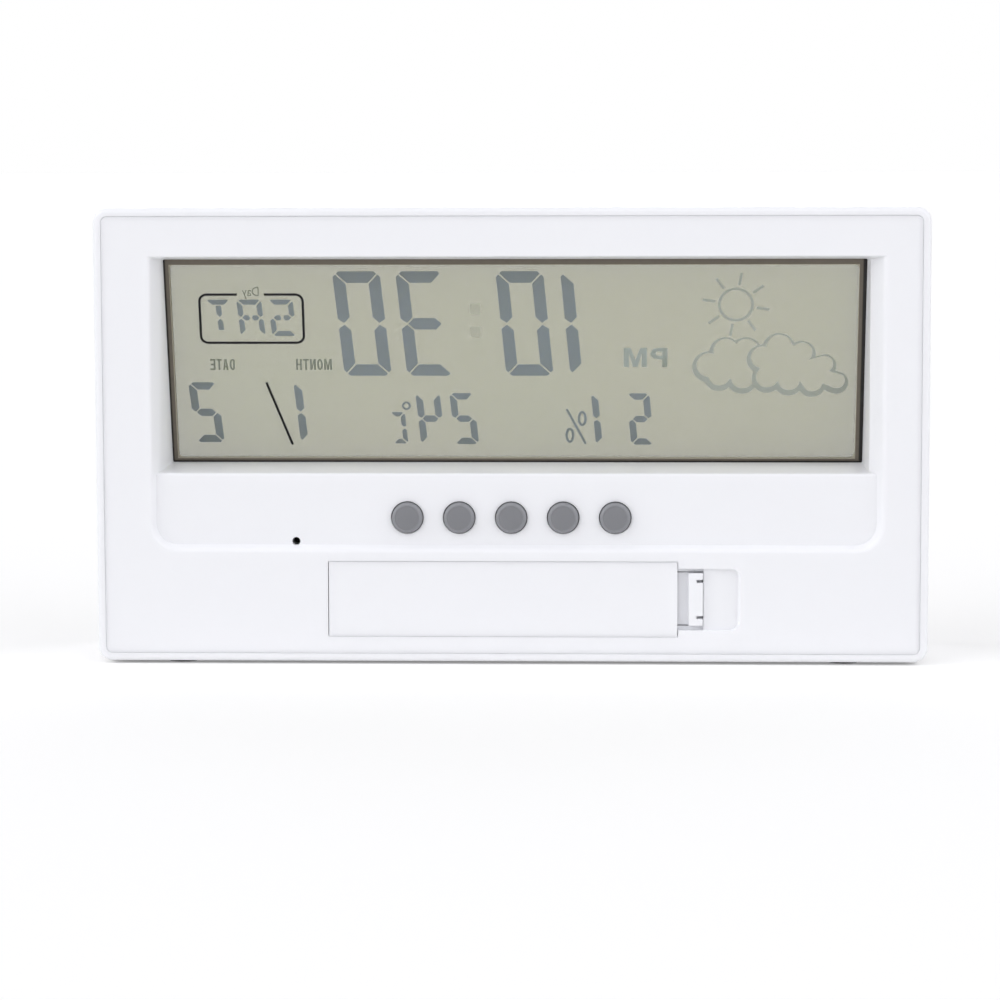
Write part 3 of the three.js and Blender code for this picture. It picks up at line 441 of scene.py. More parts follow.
film = clear("polarizing film", FILM_TINT, FILM_WARM_TINT, roughness=0.28, cover=FILM_COVER)
glass = clear("display glass", GLASS_TINT, shaded(GLASS_TINT, 1.05), roughness=0.03, cover=GLASS_COVER)
lens = clear("clear lens", LENS_TINT, shaded(LENS_TINT, 1.03), roughness=0.02, cover=LENS_COVER)
dress("rear_polarizer", film)
dress("front_polarizer", film)
dress("lcd_glass", glass)
dress("front_lens", lens)
print("dressed the clear pieces")

# %% [markdown]
# ## Gasket
# The band round the display is dark foam. Painted shade makes it nearly black where it goes under the
# window's wall, and a painted highlight makes a pale line along its inner edge. Both follow the opening, so
# the colour is chosen by the distance from the opening's edge, which is measured on the gasket's own points.

# %% Gasket
GASKET_COLOR = (0.15, 0.13, 0.1)
GASKET_SHADE = (0.012, 0.01, 0.009)
GASKET_PAINTED_HIGHLIGHT = (0.4, 0.37, 0.29)
PAINTED_HIGHLIGHT_FULL = 0.08 * MM
PAINTED_HIGHLIGHT_END = 0.112 * MM
FOAM_PER_METRE = 900
FOAM_GRAIN = 0.008 * MM
SIDE_SHADE = (0.7 * MM, 0.95 * MM)
LOWER_SHADE = (0.4 * MM, 0.62 * MM)

to_display = display.inverted()
gasket_points = [to_display @ point.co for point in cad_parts["lcd_gasket"].data.vertices]
inside_across = max(abs(point.x) for point in gasket_points) - MM
inside_up = max(abs(point.y) for point in gasket_points) - MM
opening = [point for point in gasket_points if abs(point.x) < inside_across and abs(point.y) < inside_up]
opening_left, opening_right = min(point.x for point in opening), max(point.x for point in opening)
opening_low, opening_high = min(point.y for point in opening), max(point.y for point in opening)
opening_middle = display @ Vector(((opening_left + opening_right) / 2, (opening_low + opening_high) / 2, 0))
half_width = (opening_right - opening_left) / 2
half_height = (opening_high - opening_low) / 2

gasket, foam_grain = satin("dark gasket", roughness=0.75)
gasket.bump(foam_grain, FOAM_GRAIN)
beside = abs(gasket.along(across, opening_middle)) - half_width
height = gasket.along(upwards, opening_middle)
below = height * -1.0 - half_height
from_opening = beside.math("MAXIMUM", abs(height) - half_height)
# Painted shade: the foam's colour goes nearly black beside the window's side walls and its lower wall.
shade = gasket.ramp(beside, *SIDE_SHADE).math("MAXIMUM", gasket.ramp(below, *LOWER_SHADE))
foam = gasket.drift(gasket.noise(FOAM_PER_METRE, detail=2), GASKET_COLOR, share=0.1)
foam_with_painted_shade = gasket.mix(shade, foam, GASKET_SHADE)
# Painted highlight: a pale line of colour along the opening's edge.
painted_edge_highlight = gasket.ramp(from_opening, PAINTED_HIGHLIGHT_END, PAINTED_HIGHLIGHT_FULL)
gasket.set("Base Color", gasket.mix(painted_edge_highlight, foam_with_painted_shade, GASKET_PAINTED_HIGHLIGHT))
print("opening:", round(2 * half_width / MM, 1), "x", round(2 * half_height / MM, 1), "mm")
dress("lcd_gasket", gasket)
print("dressed the gasket")

# %% [markdown]
# ## Liquid crystal ink
# A lit segment is a patch of liquid crystal that turns light away from the second film, so from behind it
# looks like blue-grey ink in the middle of the glass. The weather picture is paler than the figures, a
# segment that is switched off hardly shows, and printed lines are nearly black. The inks could be see-through
# in different degrees, but each clear layer is two more faces for every ray to pass, and there are eight
# already. So they are solid inks, each with its own shade. The black lines are not liquid crystal at all:
# they are printed on the outside of the film on the camera's side, so nothing veils them.

# %% Inks
INK_COLOR = (0.32, 0.405, 0.66)
PICTURE_COLOR = (0.75, 0.82, 0.93)
GHOST_COLOR = (1.0, 1.0, 1.0)
WORD_COLOR = (0.27, 0.32, 0.42)
SIGN_COLOR = (0.66, 0.77, 0.92)
PRINT_COLOR = (0.012, 0.012, 0.014)
CLOUDS_PER_METRE = 180


def ink(name, color):
    """Flat ink, a little cloudy."""
    finish = Finish(name, roughness=0.55)
    finish.set("Base Color", finish.drift(finish.noise(CLOUDS_PER_METRE, detail=2), color, share=0.04))
    return finish


lit_ink = ink("lit segments", INK_COLOR)
picture_ink = ink("weather picture", PICTURE_COLOR)
ghost_ink = ink("unlit segments", GHOST_COLOR)
word_ink = ink("small words", WORD_COLOR)
sign_ink = ink("small signs", SIGN_COLOR)
print_ink = ink("printed lines", PRINT_COLOR)
print_ink.set("Specular IOR Level", 0.1)
print("inks ready")

# %% [markdown]
# ## One recipe for every figure
# Each figure is made of at most seven bars, and the small letters split the middle bar and add two upright
# ones. The outline of a bar depends only on the size of its figure, so each size gets a set of bar shapes.
# A Geometry Nodes tree then puts a bar on every point, picks it by the point's number, and gives it
# thickness. A new time or date would need only other points. The bars have letters for names: a is the top
# one, b to f follow clockwise, and g is the middle one. The halves of the middle bar are h and i, and the
# upright bars are j and k.

# %% Bar shapes
INK_THICKNESS = 0.02 * MM
SLANT = math.tan(math.radians(5))
CUT_SHARE = 0.7
OUTER_SHARE = 0.7


def bar_outlines(width, height, stroke, gap, point_share):
    """The outlines of all bars of one figure, in millimetres, by name."""
    cut = gap * CUT_SHARE
    corner = stroke * point_share
    middle_line = height / 2
    mitre = (corner + cut) / 2
    half = stroke / 2
    top = [
        (corner, height), (width - corner, height), (width - mitre, height - mitre + cut),
        (width - stroke - cut, height - stroke), (stroke + cut, height - stroke),
        (mitre, height - mitre + cut),
    ]
    upper_left = [
        (0, height - corner), (mitre - cut, height - mitre), (stroke, height - stroke - cut),
        (stroke, middle_line + half + cut), (half, middle_line + cut),
        (0, middle_line + half * OUTER_SHARE + cut),
    ]
    across = [
        (half + cut, middle_line), (stroke + cut, middle_line + half),
        (width - stroke - cut, middle_line + half), (width - half - cut, middle_line),
        (width - stroke - cut, middle_line - half), (stroke + cut, middle_line - half),
    ]
    waist = width / 2
    across_left = [
        (half + cut, middle_line), (stroke + cut, middle_line + half),
        (waist - cut - half / 2, middle_line + half), (waist - cut, middle_line),
        (waist - cut - half / 2, middle_line - half), (stroke + cut, middle_line - half),
    ]
    upright = [
        (waist - half, height - stroke - cut), (waist + half, height - stroke - cut),
        (waist + half, middle_line + half + cut), (waist, middle_line + cut),
        (waist - half, middle_line + half + cut),
    ]

    def swap_sides(points):
        return [(width - x, y) for x, y in points]

    def swap_ends(points):
        return [(x, height - y) for x, y in points]

    bars = {
        "a": top, "b": swap_sides(upper_left), "c": swap_sides(swap_ends(upper_left)), "d": swap_ends(top),
        "e": swap_ends(upper_left), "f": upper_left, "g": across, "h": across_left,
        "i": swap_sides(across_left), "j": upright, "k": swap_ends(upright),
    }
    return {name: [(x + y * SLANT, y) for x, y in points] for name, points in bars.items()}


BAR_NAMES = "abcdefghijk"
LIT_BARS = {
    "0": "abcdef", "1": "bc", "2": "abged", "3": "abgcd", "4": "fgbc", "5": "afgcd", "C": "afed",
    "T": "ajk", "A": "abcefhi", "S": "afhicd",
}
print("bars for", len(LIT_BARS), "figures")

# %% [markdown]
# The tree has four inputs: the collection with the bar shapes, the thickness, the material, and the points
# themselves. Extruding a flat face leaves its underside open, so a turned copy of the flat faces closes it.

# %% A tree that sets bars
SAME_PLACE = 0.0001 * MM


def new_tree(name, inputs):
    """A Geometry Nodes tree with a geometry coming in, named inputs, and the output still to be linked."""
    tree = bpy.data.node_groups.new(name, "GeometryNodeTree")
    tree.interface.new_socket("Geometry", in_out="INPUT", socket_type="NodeSocketGeometry")
    for title, kind in inputs.items():
        tree.interface.new_socket(title, in_out="INPUT", socket_type=f"NodeSocket{kind}")
    tree.interface.new_socket("Geometry", in_out="OUTPUT", socket_type="NodeSocketGeometry")
    entry = tree.nodes.new("NodeGroupInput")
    return tree, {socket.name: Value(tree, socket) for socket in entry.outputs if socket.name}


def end_tree(tree, geometry, material):
    """Finishes a tree: real geometry instead of instances, and the material on it."""
    real = add_node(tree, "GeometryNodeRealizeInstances", inputs={"Geometry": geometry})
    dressed = add_node(tree, "GeometryNodeSetMaterial", inputs={"Geometry": real, "Material": material})
    leave = tree.nodes.new("NodeGroupOutput")
    tree.links.new(dressed.socket, leave.inputs["Geometry"])


def thickened(tree, flat, thickness):
    """Flat faces made into closed plates."""
    raised = add_node(tree, "GeometryNodeExtrudeMesh", inputs={
        "Mesh": flat, "Offset Scale": thickness, "Individual": False,
    })
    under = add_node(tree, "GeometryNodeFlipFaces", inputs={"Mesh": flat})
    both = add_node(tree, "GeometryNodeJoinGeometry")
    join_input = both.socket.node.inputs["Geometry"]
    tree.links.new(raised.socket, join_input)
    tree.links.new(under.socket, join_input)
    return add_node(tree, "GeometryNodeMergeByDistance", inputs={"Geometry": both, "Distance": SAME_PLACE})


bar_tree, bar_inputs = new_tree("bars on points", {
    "Shapes": "Collection", "Thickness": "Float", "Ink": "Material",
})
shapes = add_node(bar_tree, "GeometryNodeCollectionInfo", inputs={
    "Collection": bar_inputs["Shapes"], "Separate Children": True, "Reset Children": True,
})
bar_number = add_node(bar_tree, "GeometryNodeInputNamedAttribute", {"data_type": "INT"}, {"Name": "bar"})
placed = add_node(bar_tree, "GeometryNodeInstanceOnPoints", inputs={
    "Points": bar_inputs["Geometry"], "Instance": shapes,
    "Pick Instance": True, "Instance Index": bar_number,
})
flat_bars = add_node(bar_tree, "GeometryNodeRealizeInstances", inputs={"Geometry": placed})
end_tree(bar_tree, thickened(bar_tree, flat_bars, bar_inputs["Thickness"]), bar_inputs["Ink"])
print("tree:", bar_tree.name)

# %% [markdown]
# A finished piece has to be a plain mesh with its place in its points, so a helper runs the tree once,
# keeps the result, removes the modifier and carries the points to the leaning plane of the display.


# %% Run a tree and keep its mesh
def run_tree(name, start, tree, numbers):
    """Runs a Geometry Nodes tree on a mesh and returns an object that holds the plain result."""
    carrier = bpy.data.objects.new(name, start)
    scene.collection.objects.link(carrier)
    recipe = carrier.modifiers.new("recipe", "NODES")
    recipe.node_group = tree
    for item in tree.interface.items_tree:
        if item.in_out == "INPUT" and item.name in numbers:
            recipe[item.identifier] = numbers[item.name]
    settled = carrier.evaluated_get(bpy.context.evaluated_depsgraph_get())
    result = bpy.data.meshes.new_from_object(settled)
    carrier.modifiers.clear()
    carrier.data = result
    return carrier


def keep(piece, matrix, body):
    """Moves the points of a finished piece to their place and hangs it on its body."""
    piece.data.transform(matrix)
    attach(piece, body)


print("ready to run trees")

# %% [markdown]
# A figure's size is five numbers: width, height and stroke in millimetres, the gap between its bars, and how
# far the bars are cut to a point at the corners, as a share of the stroke. The bars of that size are single
# flat faces in a collection, and the points say where a bar goes and which one it is.


# %% Write figures
def bar_collection(name, size):
    """One small flat object for each bar of a figure's size."""
    collection = bpy.data.collections.new(name)
    for bar, points in bar_outlines(*size).items():
        mesh = bpy.data.meshes.new(f"{name}.{bar}")
        mesh.from_pydata([(x * MM, y * MM, 0) for x, y in points], [], [tuple(range(len(points)))])
        if mesh.polygons[0].normal.z < 0:
            mesh.flip_normals()
        collection.objects.link(bpy.data.objects.new(mesh.name, mesh))
    return collection


def figures(name, size, foot, cells):
    """Writes figures on a line of the display: each cell is a figure and how far right it starts."""
    points = []
    numbers = []
    for figure, left in cells:
        for bar in LIT_BARS[figure]:
            points.append((left * MM, foot * MM, 0))
            numbers.append(BAR_NAMES.index(bar))
    start = bpy.data.meshes.new(name)
    start.from_pydata(points, [], [])
    start.attributes.new("bar", "INT", "POINT").data.foreach_set("value", numbers)
    piece = run_tree(name, start, bar_tree, {
        "Shapes": bar_collection(f"{name}.bars", size), "Thickness": INK_THICKNESS, "Ink": lit_ink.material,
    })
    print(name, "bars:", len(numbers))
    keep(piece, display, "housing")

# %% [markdown]
# The figures sit where the photograph has them. Read from the front it is Saturday, half past ten in the
# evening, at 24 degrees and 51 percent. Each group has its size, the height of its line over the middle of
# the display, and the places where its figures start, all in millimetres.

# %% Time, date, temperature and humidity
TIME_SIZE = (9.78, 22.8, 2.5, 0.3, 0.5)
DATE_SIZE = (5.95, 13.33, 1.62, 0.24, 0.55)
WARMTH_SIZE = (5.05, 11.35, 1.42, 0.24, 0.55)
DAMP_SIZE = (4.75, 11.4, 1.4, 0.24, 0.55)
LETTER_SIZE = (5.15, 7.95, 1.1, 0.3, 0.6)
UNIT_SIZE = (3.1, 7.0, 0.95, 0.26, 0.6)

figures("time_figures", TIME_SIZE, foot=-4.2, cells=[("1", -21.1), ("0", -7.83), ("3", 12.75), ("0", 25.75)])
figures("date_figures", DATE_SIZE, foot=-19.0, cells=[("1", 39.2), ("2", 61.15)])
figures("warmth_figures", WARMTH_SIZE, foot=-19.4, cells=[("2", 7.85), ("4", 14.9)])
figures("damp_figures", DAMP_SIZE, foot=-19.5, cells=[("5", -28.65), ("1", -21.3)])
figures("day_letters", LETTER_SIZE, foot=4.55, cells=[("S", 45.15), ("A", 51.65), ("T", 58.1)])
figures("warmth_unit", UNIT_SIZE, foot=-19.27, cells=[("C", 22.65)])

# %% [markdown]
# ## Lines and shapes beside the figures
# A display also has shapes that are not made of bars: a box round the day, a slash, a colon. All of them
# start as flat faces in millimetres. A line is a strip of four-sided faces along a few points, so a rounded
# box and a circle come from the same function. A second small tree gives the flat faces their thickness.

# %% Flat shapes and strips
plate_tree, plate_inputs = new_tree("flat shapes to plates", {"Thickness": "Float", "Ink": "Material"})
plates = thickened(plate_tree, plate_inputs["Geometry"], plate_inputs["Thickness"])
end_tree(plate_tree, plates, plate_inputs["Ink"])
OVAL_CORNERS = 24


def flat_mesh(name, shapes):
    """One flat mesh of several shapes: each has corners in millimetres and faces that join them."""
    corners = []
    faces = []
    for points, joined in shapes:
        start = len(corners)
        corners += [(x * MM, y * MM, 0) for x, y in points]
        faces += [tuple(start + index for index in face) for face in joined]
    mesh = bpy.data.meshes.new(name)
    mesh.from_pydata(corners, [], faces)
    for polygon in mesh.polygons:
        if polygon.normal.z < 0:
            polygon.flip()
    return mesh


def line_along(points, width, closed=False):
    """A line of even width along points, as a strip of four-sided faces."""
    sides = []
    count = len(points)
    for index, (x, y) in enumerate(points):
        before = points[index - 1] if closed or index else points[index]
        after = points[(index + 1) % count] if closed or index < count - 1 else points[index]
        run = (Vector(after) - Vector(before)).normalized() * width / 2
        sides += [(x - run.y, y + run.x), (x + run.y, y - run.x)]
    pairs = [(index, (index + 1) % count) for index in range(count if closed else count - 1)]
    return sides, [(2 * here, 2 * here + 1, 2 * there + 1, 2 * there) for here, there in pairs]


def arc(x, y, across, up, start, end, steps):
    """Points on an arc of an ellipse, from one angle to another in degrees."""
    angles = [math.radians(start + (end - start) * step / steps) for step in range(steps + 1)]
    return [(x + across * math.cos(angle), y + up * math.sin(angle)) for angle in angles]


def oval(x, y, across, up, width, corners=OVAL_CORNERS):
    """A closed line of even width round an ellipse."""
    points = arc(x, y, across, up, 0, 360 - 360 / corners, corners - 1)
    return line_along(points, width, closed=True)


def artwork(name, mesh, finish, tree=plate_tree, place=Matrix.Identity(4), **numbers):
    """Gives flat faces their thickness and ink, and puts them on the display."""
    numbers = {**numbers, "Thickness": INK_THICKNESS, "Ink": finish.material}
    piece = run_tree(name, mesh, tree, numbers)
    print(name, "faces:", len(piece.data.polygons))
    keep(piece, display @ place, "housing")


def drawing(name, shapes, finish, **more):
    """Puts a drawing of several flat shapes on the display."""
    artwork(name, flat_mesh(name, shapes), finish, **more)


print("tree:", plate_tree.name)

# %% [markdown]
# The printed lines lie a little nearer to the eye than the liquid layer, and the display leans, so at the
# same drawing coordinates they would show lower than the figures beside them. They are therefore moved to
# the film along the line of sight, and stay where the photograph has them.

# %% Where the film is printed
PRINT_GAP = 0.01 * MM
film_points = [to_display @ point.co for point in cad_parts["rear_polarizer"].data.vertices]
print_depth = min(point.z for point in film_points) - PRINT_GAP - INK_THICKNESS
to_camera = to_display @ CAMERA_PLACE
on_film = Matrix.Translation(to_camera * (print_depth / to_camera.z))
print("the print lies", round(-print_depth / MM, 2), "mm from the liquid layer")

# %% [markdown]
# The box round the day is open above, where the word Day stands. It and the slash between the month and the
# day are the two printed drawings.

# %% Day box and slash
LINE = 0.5
BOX_LEFT, BOX_RIGHT, BOX_LOW, BOX_HIGH = 43.65, 64.95, 3.05, 13.55
BOX_CORNER = 1.5
BOX_GAP_LEFT, BOX_GAP_RIGHT = 51.6, 57.16
CORNER_STEPS = 6
SLASH = [(51.79, -5.68), (46.77, -19.49)]

corner_left, corner_right = BOX_LEFT + BOX_CORNER, BOX_RIGHT - BOX_CORNER
corner_low, corner_high = BOX_LOW + BOX_CORNER, BOX_HIGH - BOX_CORNER
box_line = [(BOX_GAP_RIGHT, BOX_HIGH)]
for x, y, start in (
    (corner_right, corner_high, 90), (corner_right, corner_low, 0),
    (corner_left, corner_low, -90), (corner_left, corner_high, 180),
):
    box_line += arc(x, y, BOX_CORNER, BOX_CORNER, start, start - 90, CORNER_STEPS)
box_line.append((BOX_GAP_LEFT, BOX_HIGH))
drawing("day_box", [line_along(box_line, LINE)], print_ink, place=on_film)
drawing("date_slash", [line_along(SLASH, LINE)], print_ink, place=on_film)

# %% [markdown]
# The colon, the degree sign and the percent sign are liquid crystal again. The colon's two squares are short
# lines as wide as they are long, and the round signs are closed lines.

# %% Colon, degree sign and percent sign
COLON_SIDE = 2.1
COLON_X = 8.2
COLON_HEIGHTS = (5.44, 10.44)
DEGREE_MIDDLE = (22.87, -10.87)
DEGREE_RADIUS = 0.72
DEGREE_LINE = 0.42
PERCENT_MIDDLES = [(-13.71, -13.70), (-11.13, -17.43)]
PERCENT_ROUND = (0.68, 1.42)
PERCENT_LINE = 0.52
PERCENT_STROKE = [(-14.4, -19.3), (-10.5, -11.6)]

colon = [
    line_along([(COLON_X, dot - COLON_SIDE / 2), (COLON_X, dot + COLON_SIDE / 2)], COLON_SIDE)
    for dot in COLON_HEIGHTS
]
drawing("time_colon", colon, ghost_ink)
degree = oval(*DEGREE_MIDDLE, DEGREE_RADIUS, DEGREE_RADIUS, DEGREE_LINE)
drawing("degree_sign", [degree], lit_ink)
percent = [oval(x, y, *PERCENT_ROUND, PERCENT_LINE) for x, y in PERCENT_MIDDLES]
percent.append(line_along(PERCENT_STROKE, LINE))
drawing("percent_sign", percent, lit_ink)

# %% [markdown]
# ## Small words
# The words name what a figure means, such as DATE or PM. Blender's built-in letters do for two of them: each
# is turned into flat faces and stretched to the box that it fills on the display.

# %% Words
LETTER_DETAIL = 3


def word(name, letters, left, right, low, high, finish, bold=0.0):
    """Writes a short word in its box on the display."""
    writing = bpy.data.curves.new(name, "FONT")
    writing.body = letters
    writing.offset = bold
    writing.resolution_u = LETTER_DETAIL
    carrier = bpy.data.objects.new(name, writing)
    scene.collection.objects.link(carrier)
    settled = carrier.evaluated_get(bpy.context.evaluated_depsgraph_get())
    mesh = bpy.data.meshes.new_from_object(settled)
    bpy.data.objects.remove(carrier)
    across_reach = [point.co.x for point in mesh.vertices]
    up_reach = [point.co.y for point in mesh.vertices]
    stretch_across = (right - left) * MM / (max(across_reach) - min(across_reach))
    stretch_up = (high - low) * MM / (max(up_reach) - min(up_reach))
    mesh.transform(
        Matrix.Translation((left * MM, low * MM, 0))
        @ Matrix.Diagonal((stretch_across, stretch_up, 1, 1))
        @ Matrix.Translation((-min(across_reach), -min(up_reach), 0))
    )
    artwork(name, mesh, finish)


EVENING_LOW, EVENING_HIGH = -2.28, 1.89
word("day_word", "Day", left=52.77, right=56.23, low=12.62, high=15.24, finish=word_ink)
word(
    "evening_letter", "P", left=-31.35, right=-27.85, low=EVENING_LOW, high=EVENING_HIGH,
    finish=sign_ink, bold=0.022,
)

# %% [markdown]
# The other capitals have bold lines for their size, and a font made as bold closes its corners. They are
# drawn as single flat faces from the width of their line, with a ring of faces for the round ones.

# %% Capitals
CAPITAL_LINE = 0.36
CAPITAL_GAP = 0.27
SIGN_LINE = 1.05
WIDER_M = 1.35
BEND_START = 0.42
BEND_STEPS = 10
WORD_LOW, WORD_HIGH = -2.94, -0.51


def capital(letter, left, low, width, height, line):
    """The flat shapes of one plain capital that fills a box."""
    leg, bar = line / width, line / height
    half, centre = line / 2, low + height / 2
    if letter == "O":
        return [oval(left + width / 2, centre, width / 2 - half, height / 2 - half, line)]
    if letter == "D":
        bend_reach = width * (1 - BEND_START) - half
        bend = arc(left + width * BEND_START, centre, bend_reach, height / 2 - half, 90, -90, BEND_STEPS)
        middle_line = [(left + half, low + half), (left + half, low + height - half), *bend]
        return [line_along(middle_line, line, closed=True)]
    outlines = {
        "H": [[
            (0, 0), (0, 1), (leg, 1), (leg, 0.5 + bar / 2), (1 - leg, 0.5 + bar / 2), (1 - leg, 1),
            (1, 1), (1, 0), (1 - leg, 0), (1 - leg, 0.5 - bar / 2), (leg, 0.5 - bar / 2), (leg, 0),
        ]],
        "T": [[
            (0, 1), (1, 1), (1, 1 - bar), (0.5 + leg / 2, 1 - bar), (0.5 + leg / 2, 0), (0.5 - leg / 2, 0),
            (0.5 - leg / 2, 1 - bar), (0, 1 - bar),
        ]],
        "E": [[
            (0, 0), (0, 1), (1, 1), (1, 1 - bar), (leg, 1 - bar), (leg, 0.5 + bar / 2), (0.9, 0.5 + bar / 2),
            (0.9, 0.5 - bar / 2), (leg, 0.5 - bar / 2), (leg, bar), (1, bar), (1, 0),
        ]],
        "A": [
            [(0, 0), (0.5 - leg * 0.6, 1), (0.5 + leg * 0.6, 1), (1, 0), (1 - leg, 0), (0.5, 0.8), (leg, 0)],
            [(0.25, 0.24), (0.25, 0.24 + bar), (0.75, 0.24 + bar), (0.75, 0.24)],
        ],
        "N": [[
            (0, 0), (0, 1), (leg * 1.2, 1), (1 - leg, 0.36), (1 - leg, 1), (1, 1), (1, 0), (1 - leg * 1.2, 0),
            (leg, 0.64), (leg, 0),
        ]],
        "M": [[
            (0, 0), (0, 1), (leg * 1.3, 1), (0.5, 0.38), (1 - leg * 1.3, 1), (1, 1), (1, 0), (1 - leg, 0),
            (1 - leg, 0.72), (0.5 + leg * 0.45, 0), (0.5 - leg * 0.45, 0), (leg, 0.72), (leg, 0),
        ]],
    }
    shapes = []
    for outline in outlines[letter]:
        corners = [(left + x * width, low + y * height) for x, y in outline]
        shapes.append((corners, [range(len(corners))]))
    return shapes


def capitals(name, letters, left, right, low, high, finish, line=CAPITAL_LINE):
    """Sets plain capitals side by side in a box on the display."""
    shares = [WIDER_M if letter == "M" else 1.0 for letter in letters]
    unit = (right - left - CAPITAL_GAP * (len(letters) - 1)) / sum(shares)
    shapes = []
    for letter, share in zip(letters, shares):
        shapes += capital(letter, left, low, unit * share, high - low, line)
        left += unit * share + CAPITAL_GAP
    drawing(name, shapes, finish)


capitals("date_word", "DATE", left=58.36, right=63.47, low=WORD_LOW, high=WORD_HIGH, finish=word_ink)
capitals("month_word", "MONTH", left=38.16, right=45.57, low=WORD_LOW, high=WORD_HIGH, finish=word_ink)
capitals(
    "evening_letter_wide", "M", left=-27.12, right=-22.37, low=EVENING_LOW, high=EVENING_HIGH,
    finish=sign_ink, line=SIGN_LINE,
)

# %% [markdown]
# ## The weather picture
# A sun and two clouds are the common sign for changing weather. The sun is a ring with eight rays, and the
# rays are one small strip that a tree sets round a circle.

# %% Sun
ray_tree, ray_inputs = new_tree("rays round a ring", {
    "Count": "Int", "Radius": "Float", "Thickness": "Float", "Ink": "Material",
})
ring_points = add_node(ray_tree, "GeometryNodeMeshCircle", inputs={
    "Vertices": ray_inputs["Count"], "Radius": ray_inputs["Radius"],
})
ray_number = add_node(ray_tree, "GeometryNodeInputIndex")
ray_turn = add_node(ray_tree, "ShaderNodeCombineXYZ", inputs={
    "Z": ray_number * (2 * math.pi / ray_inputs["Count"]),
})
rays = add_node(ray_tree, "GeometryNodeInstanceOnPoints", inputs={
    "Points": ring_points, "Instance": ray_inputs["Geometry"], "Rotation": ray_turn,
})
flat_rays = add_node(ray_tree, "GeometryNodeRealizeInstances", inputs={"Geometry": rays})
end_tree(ray_tree, thickened(ray_tree, flat_rays, ray_inputs["Thickness"]), ray_inputs["Ink"])

SUN_MIDDLE = Vector((-45.37, 11.34, 0)) * MM
SUN_RADIUS = 3.4
SUN_LINE = 0.54
SUN_CORNERS = 72
SUN_TURN = math.radians(9)
RAY_COUNT = 8
RAY_FROM = 4.3
RAY_TO = 6.9

sun_place = Matrix.Translation(SUN_MIDDLE) @ Matrix.Rotation(SUN_TURN, 4, "Z")
sun_ring = oval(0, 0, SUN_RADIUS, SUN_RADIUS, SUN_LINE, SUN_CORNERS)
drawing("sun_ring", [sun_ring], picture_ink, place=sun_place)
half_ray = (RAY_TO - RAY_FROM) / 2
one_ray = line_along([(-half_ray, 0), (half_ray, 0)], SUN_LINE)
drawing(
    "sun_rays", [one_ray], picture_ink, tree=ray_tree, place=sun_place,
    Count=RAY_COUNT, Radius=(RAY_TO + RAY_FROM) / 2 * MM,
)

# %% [markdown]
# A cloud is the outline of a few overlapping circles, found by looking outwards from its middle. Its line is
# thin above and thick below, because the inner outline is moved up a little. Where the front cloud covers
# the rear one, the rear one's line is left out.

# %% Clouds
CLOUD_STEPS = 160
CLOUD_LINE = 0.78
CLOUD_SHIFT = (-0.1, 0.42)
REAR_CLOUD = [
    (-39.9, -2.26, 3.4), (-43.3, 0.94, 3.3), (-47.5, 0.94, 3.3), (-42.0, -4.56, 3.0), (-46.8, -4.96, 3.2),
    (-44.5, -1.66, 4.5),
]
FRONT_CLOUD = [
    (-50.9, -0.56, 3.2), (-54.3, 1.74, 3.4), (-59.0, 0.54, 2.9), (-63.6, -2.06, 2.6), (-66.2, -5.66, 2.5),
    (-61.2, -5.96, 2.9), (-56.4, -5.56, 3.0), (-51.9, -4.86, 3.1), (-56.5, -1.66, 4.6),
]
REAR_MIDDLE = (-44.5, -1.66)
FRONT_MIDDLE = (-57.0, -1.96)


def cloud_outline(circles, middle_x, middle_y, thinner=0.0, shift=(0.0, 0.0)):
    """The outer outline of overlapping circles, seen from a middle point."""
    outline = []
    for step in range(CLOUD_STEPS):
        angle = 2 * math.pi * step / CLOUD_STEPS
        ray = Vector((math.cos(angle), math.sin(angle)))
        reach = 0
        for x, y, radius in circles:
            to_circle = Vector((x + shift[0] - middle_x, y + shift[1] - middle_y))
            along = to_circle.dot(ray)
            spare = (radius - thinner) ** 2 - (to_circle.length_squared - along ** 2)
            if spare > 0:
                reach = max(reach, along + math.sqrt(spare))
        outline.append((middle_x + ray.x * reach, middle_y + ray.y * reach))
    return outline


def cloud(circles, middle_point, hidden_by=()):
    """A cloud's line as a ring of four-sided faces, without those that another cloud hides."""
    outer = cloud_outline(circles, *middle_point)
    inner = cloud_outline(circles, *middle_point, thinner=CLOUD_LINE, shift=CLOUD_SHIFT)
    faces = []
    for here in range(CLOUD_STEPS):
        there = (here + 1) % CLOUD_STEPS
        spot = (Vector(outer[here]) + Vector(outer[there])) / 2
        if not any((spot - Vector((x, y))).length < radius for x, y, radius in hidden_by):
            faces.append((here, there, there + CLOUD_STEPS, here + CLOUD_STEPS))
    return outer + inner, faces


drawing("front_cloud", [cloud(FRONT_CLOUD, FRONT_MIDDLE)], picture_ink)
drawing("rear_cloud", [cloud(REAR_CLOUD, REAR_MIDDLE, hidden_by=FRONT_CLOUD)], picture_ink)

# %% [markdown]
# ## Grey buttons
# The five keys are smooth grey caps, each with a flange and a stem behind the plate. They keep the frame's
# own turned solids. Their triangles are joined and shaded smooth, and the large flat faces are weighed most,
# so that only the rounded rim catches the light. Each cap is a little dished: inside a raised rim its face is
# lower. The rim also gets a painted highlight: its colour is made paler where the rounded edge catches light.
# The step is far too shallow to show in the outline, so a bump by the distance from the cap's own
# middle is enough, and every cap has its own finish for that middle.

# %% Buttons
CAP_COLOR = (0.205, 0.208, 0.221)
RIM_FROM = 2.3 * MM
RIM_TO = 2.6 * MM
RIM_PAINTED_HIGHLIGHT = 1.22
DISH = 0.12 * MM
FLAT_WEIGHT = 80
BUTTON_NUMBERS = range(1, 6)


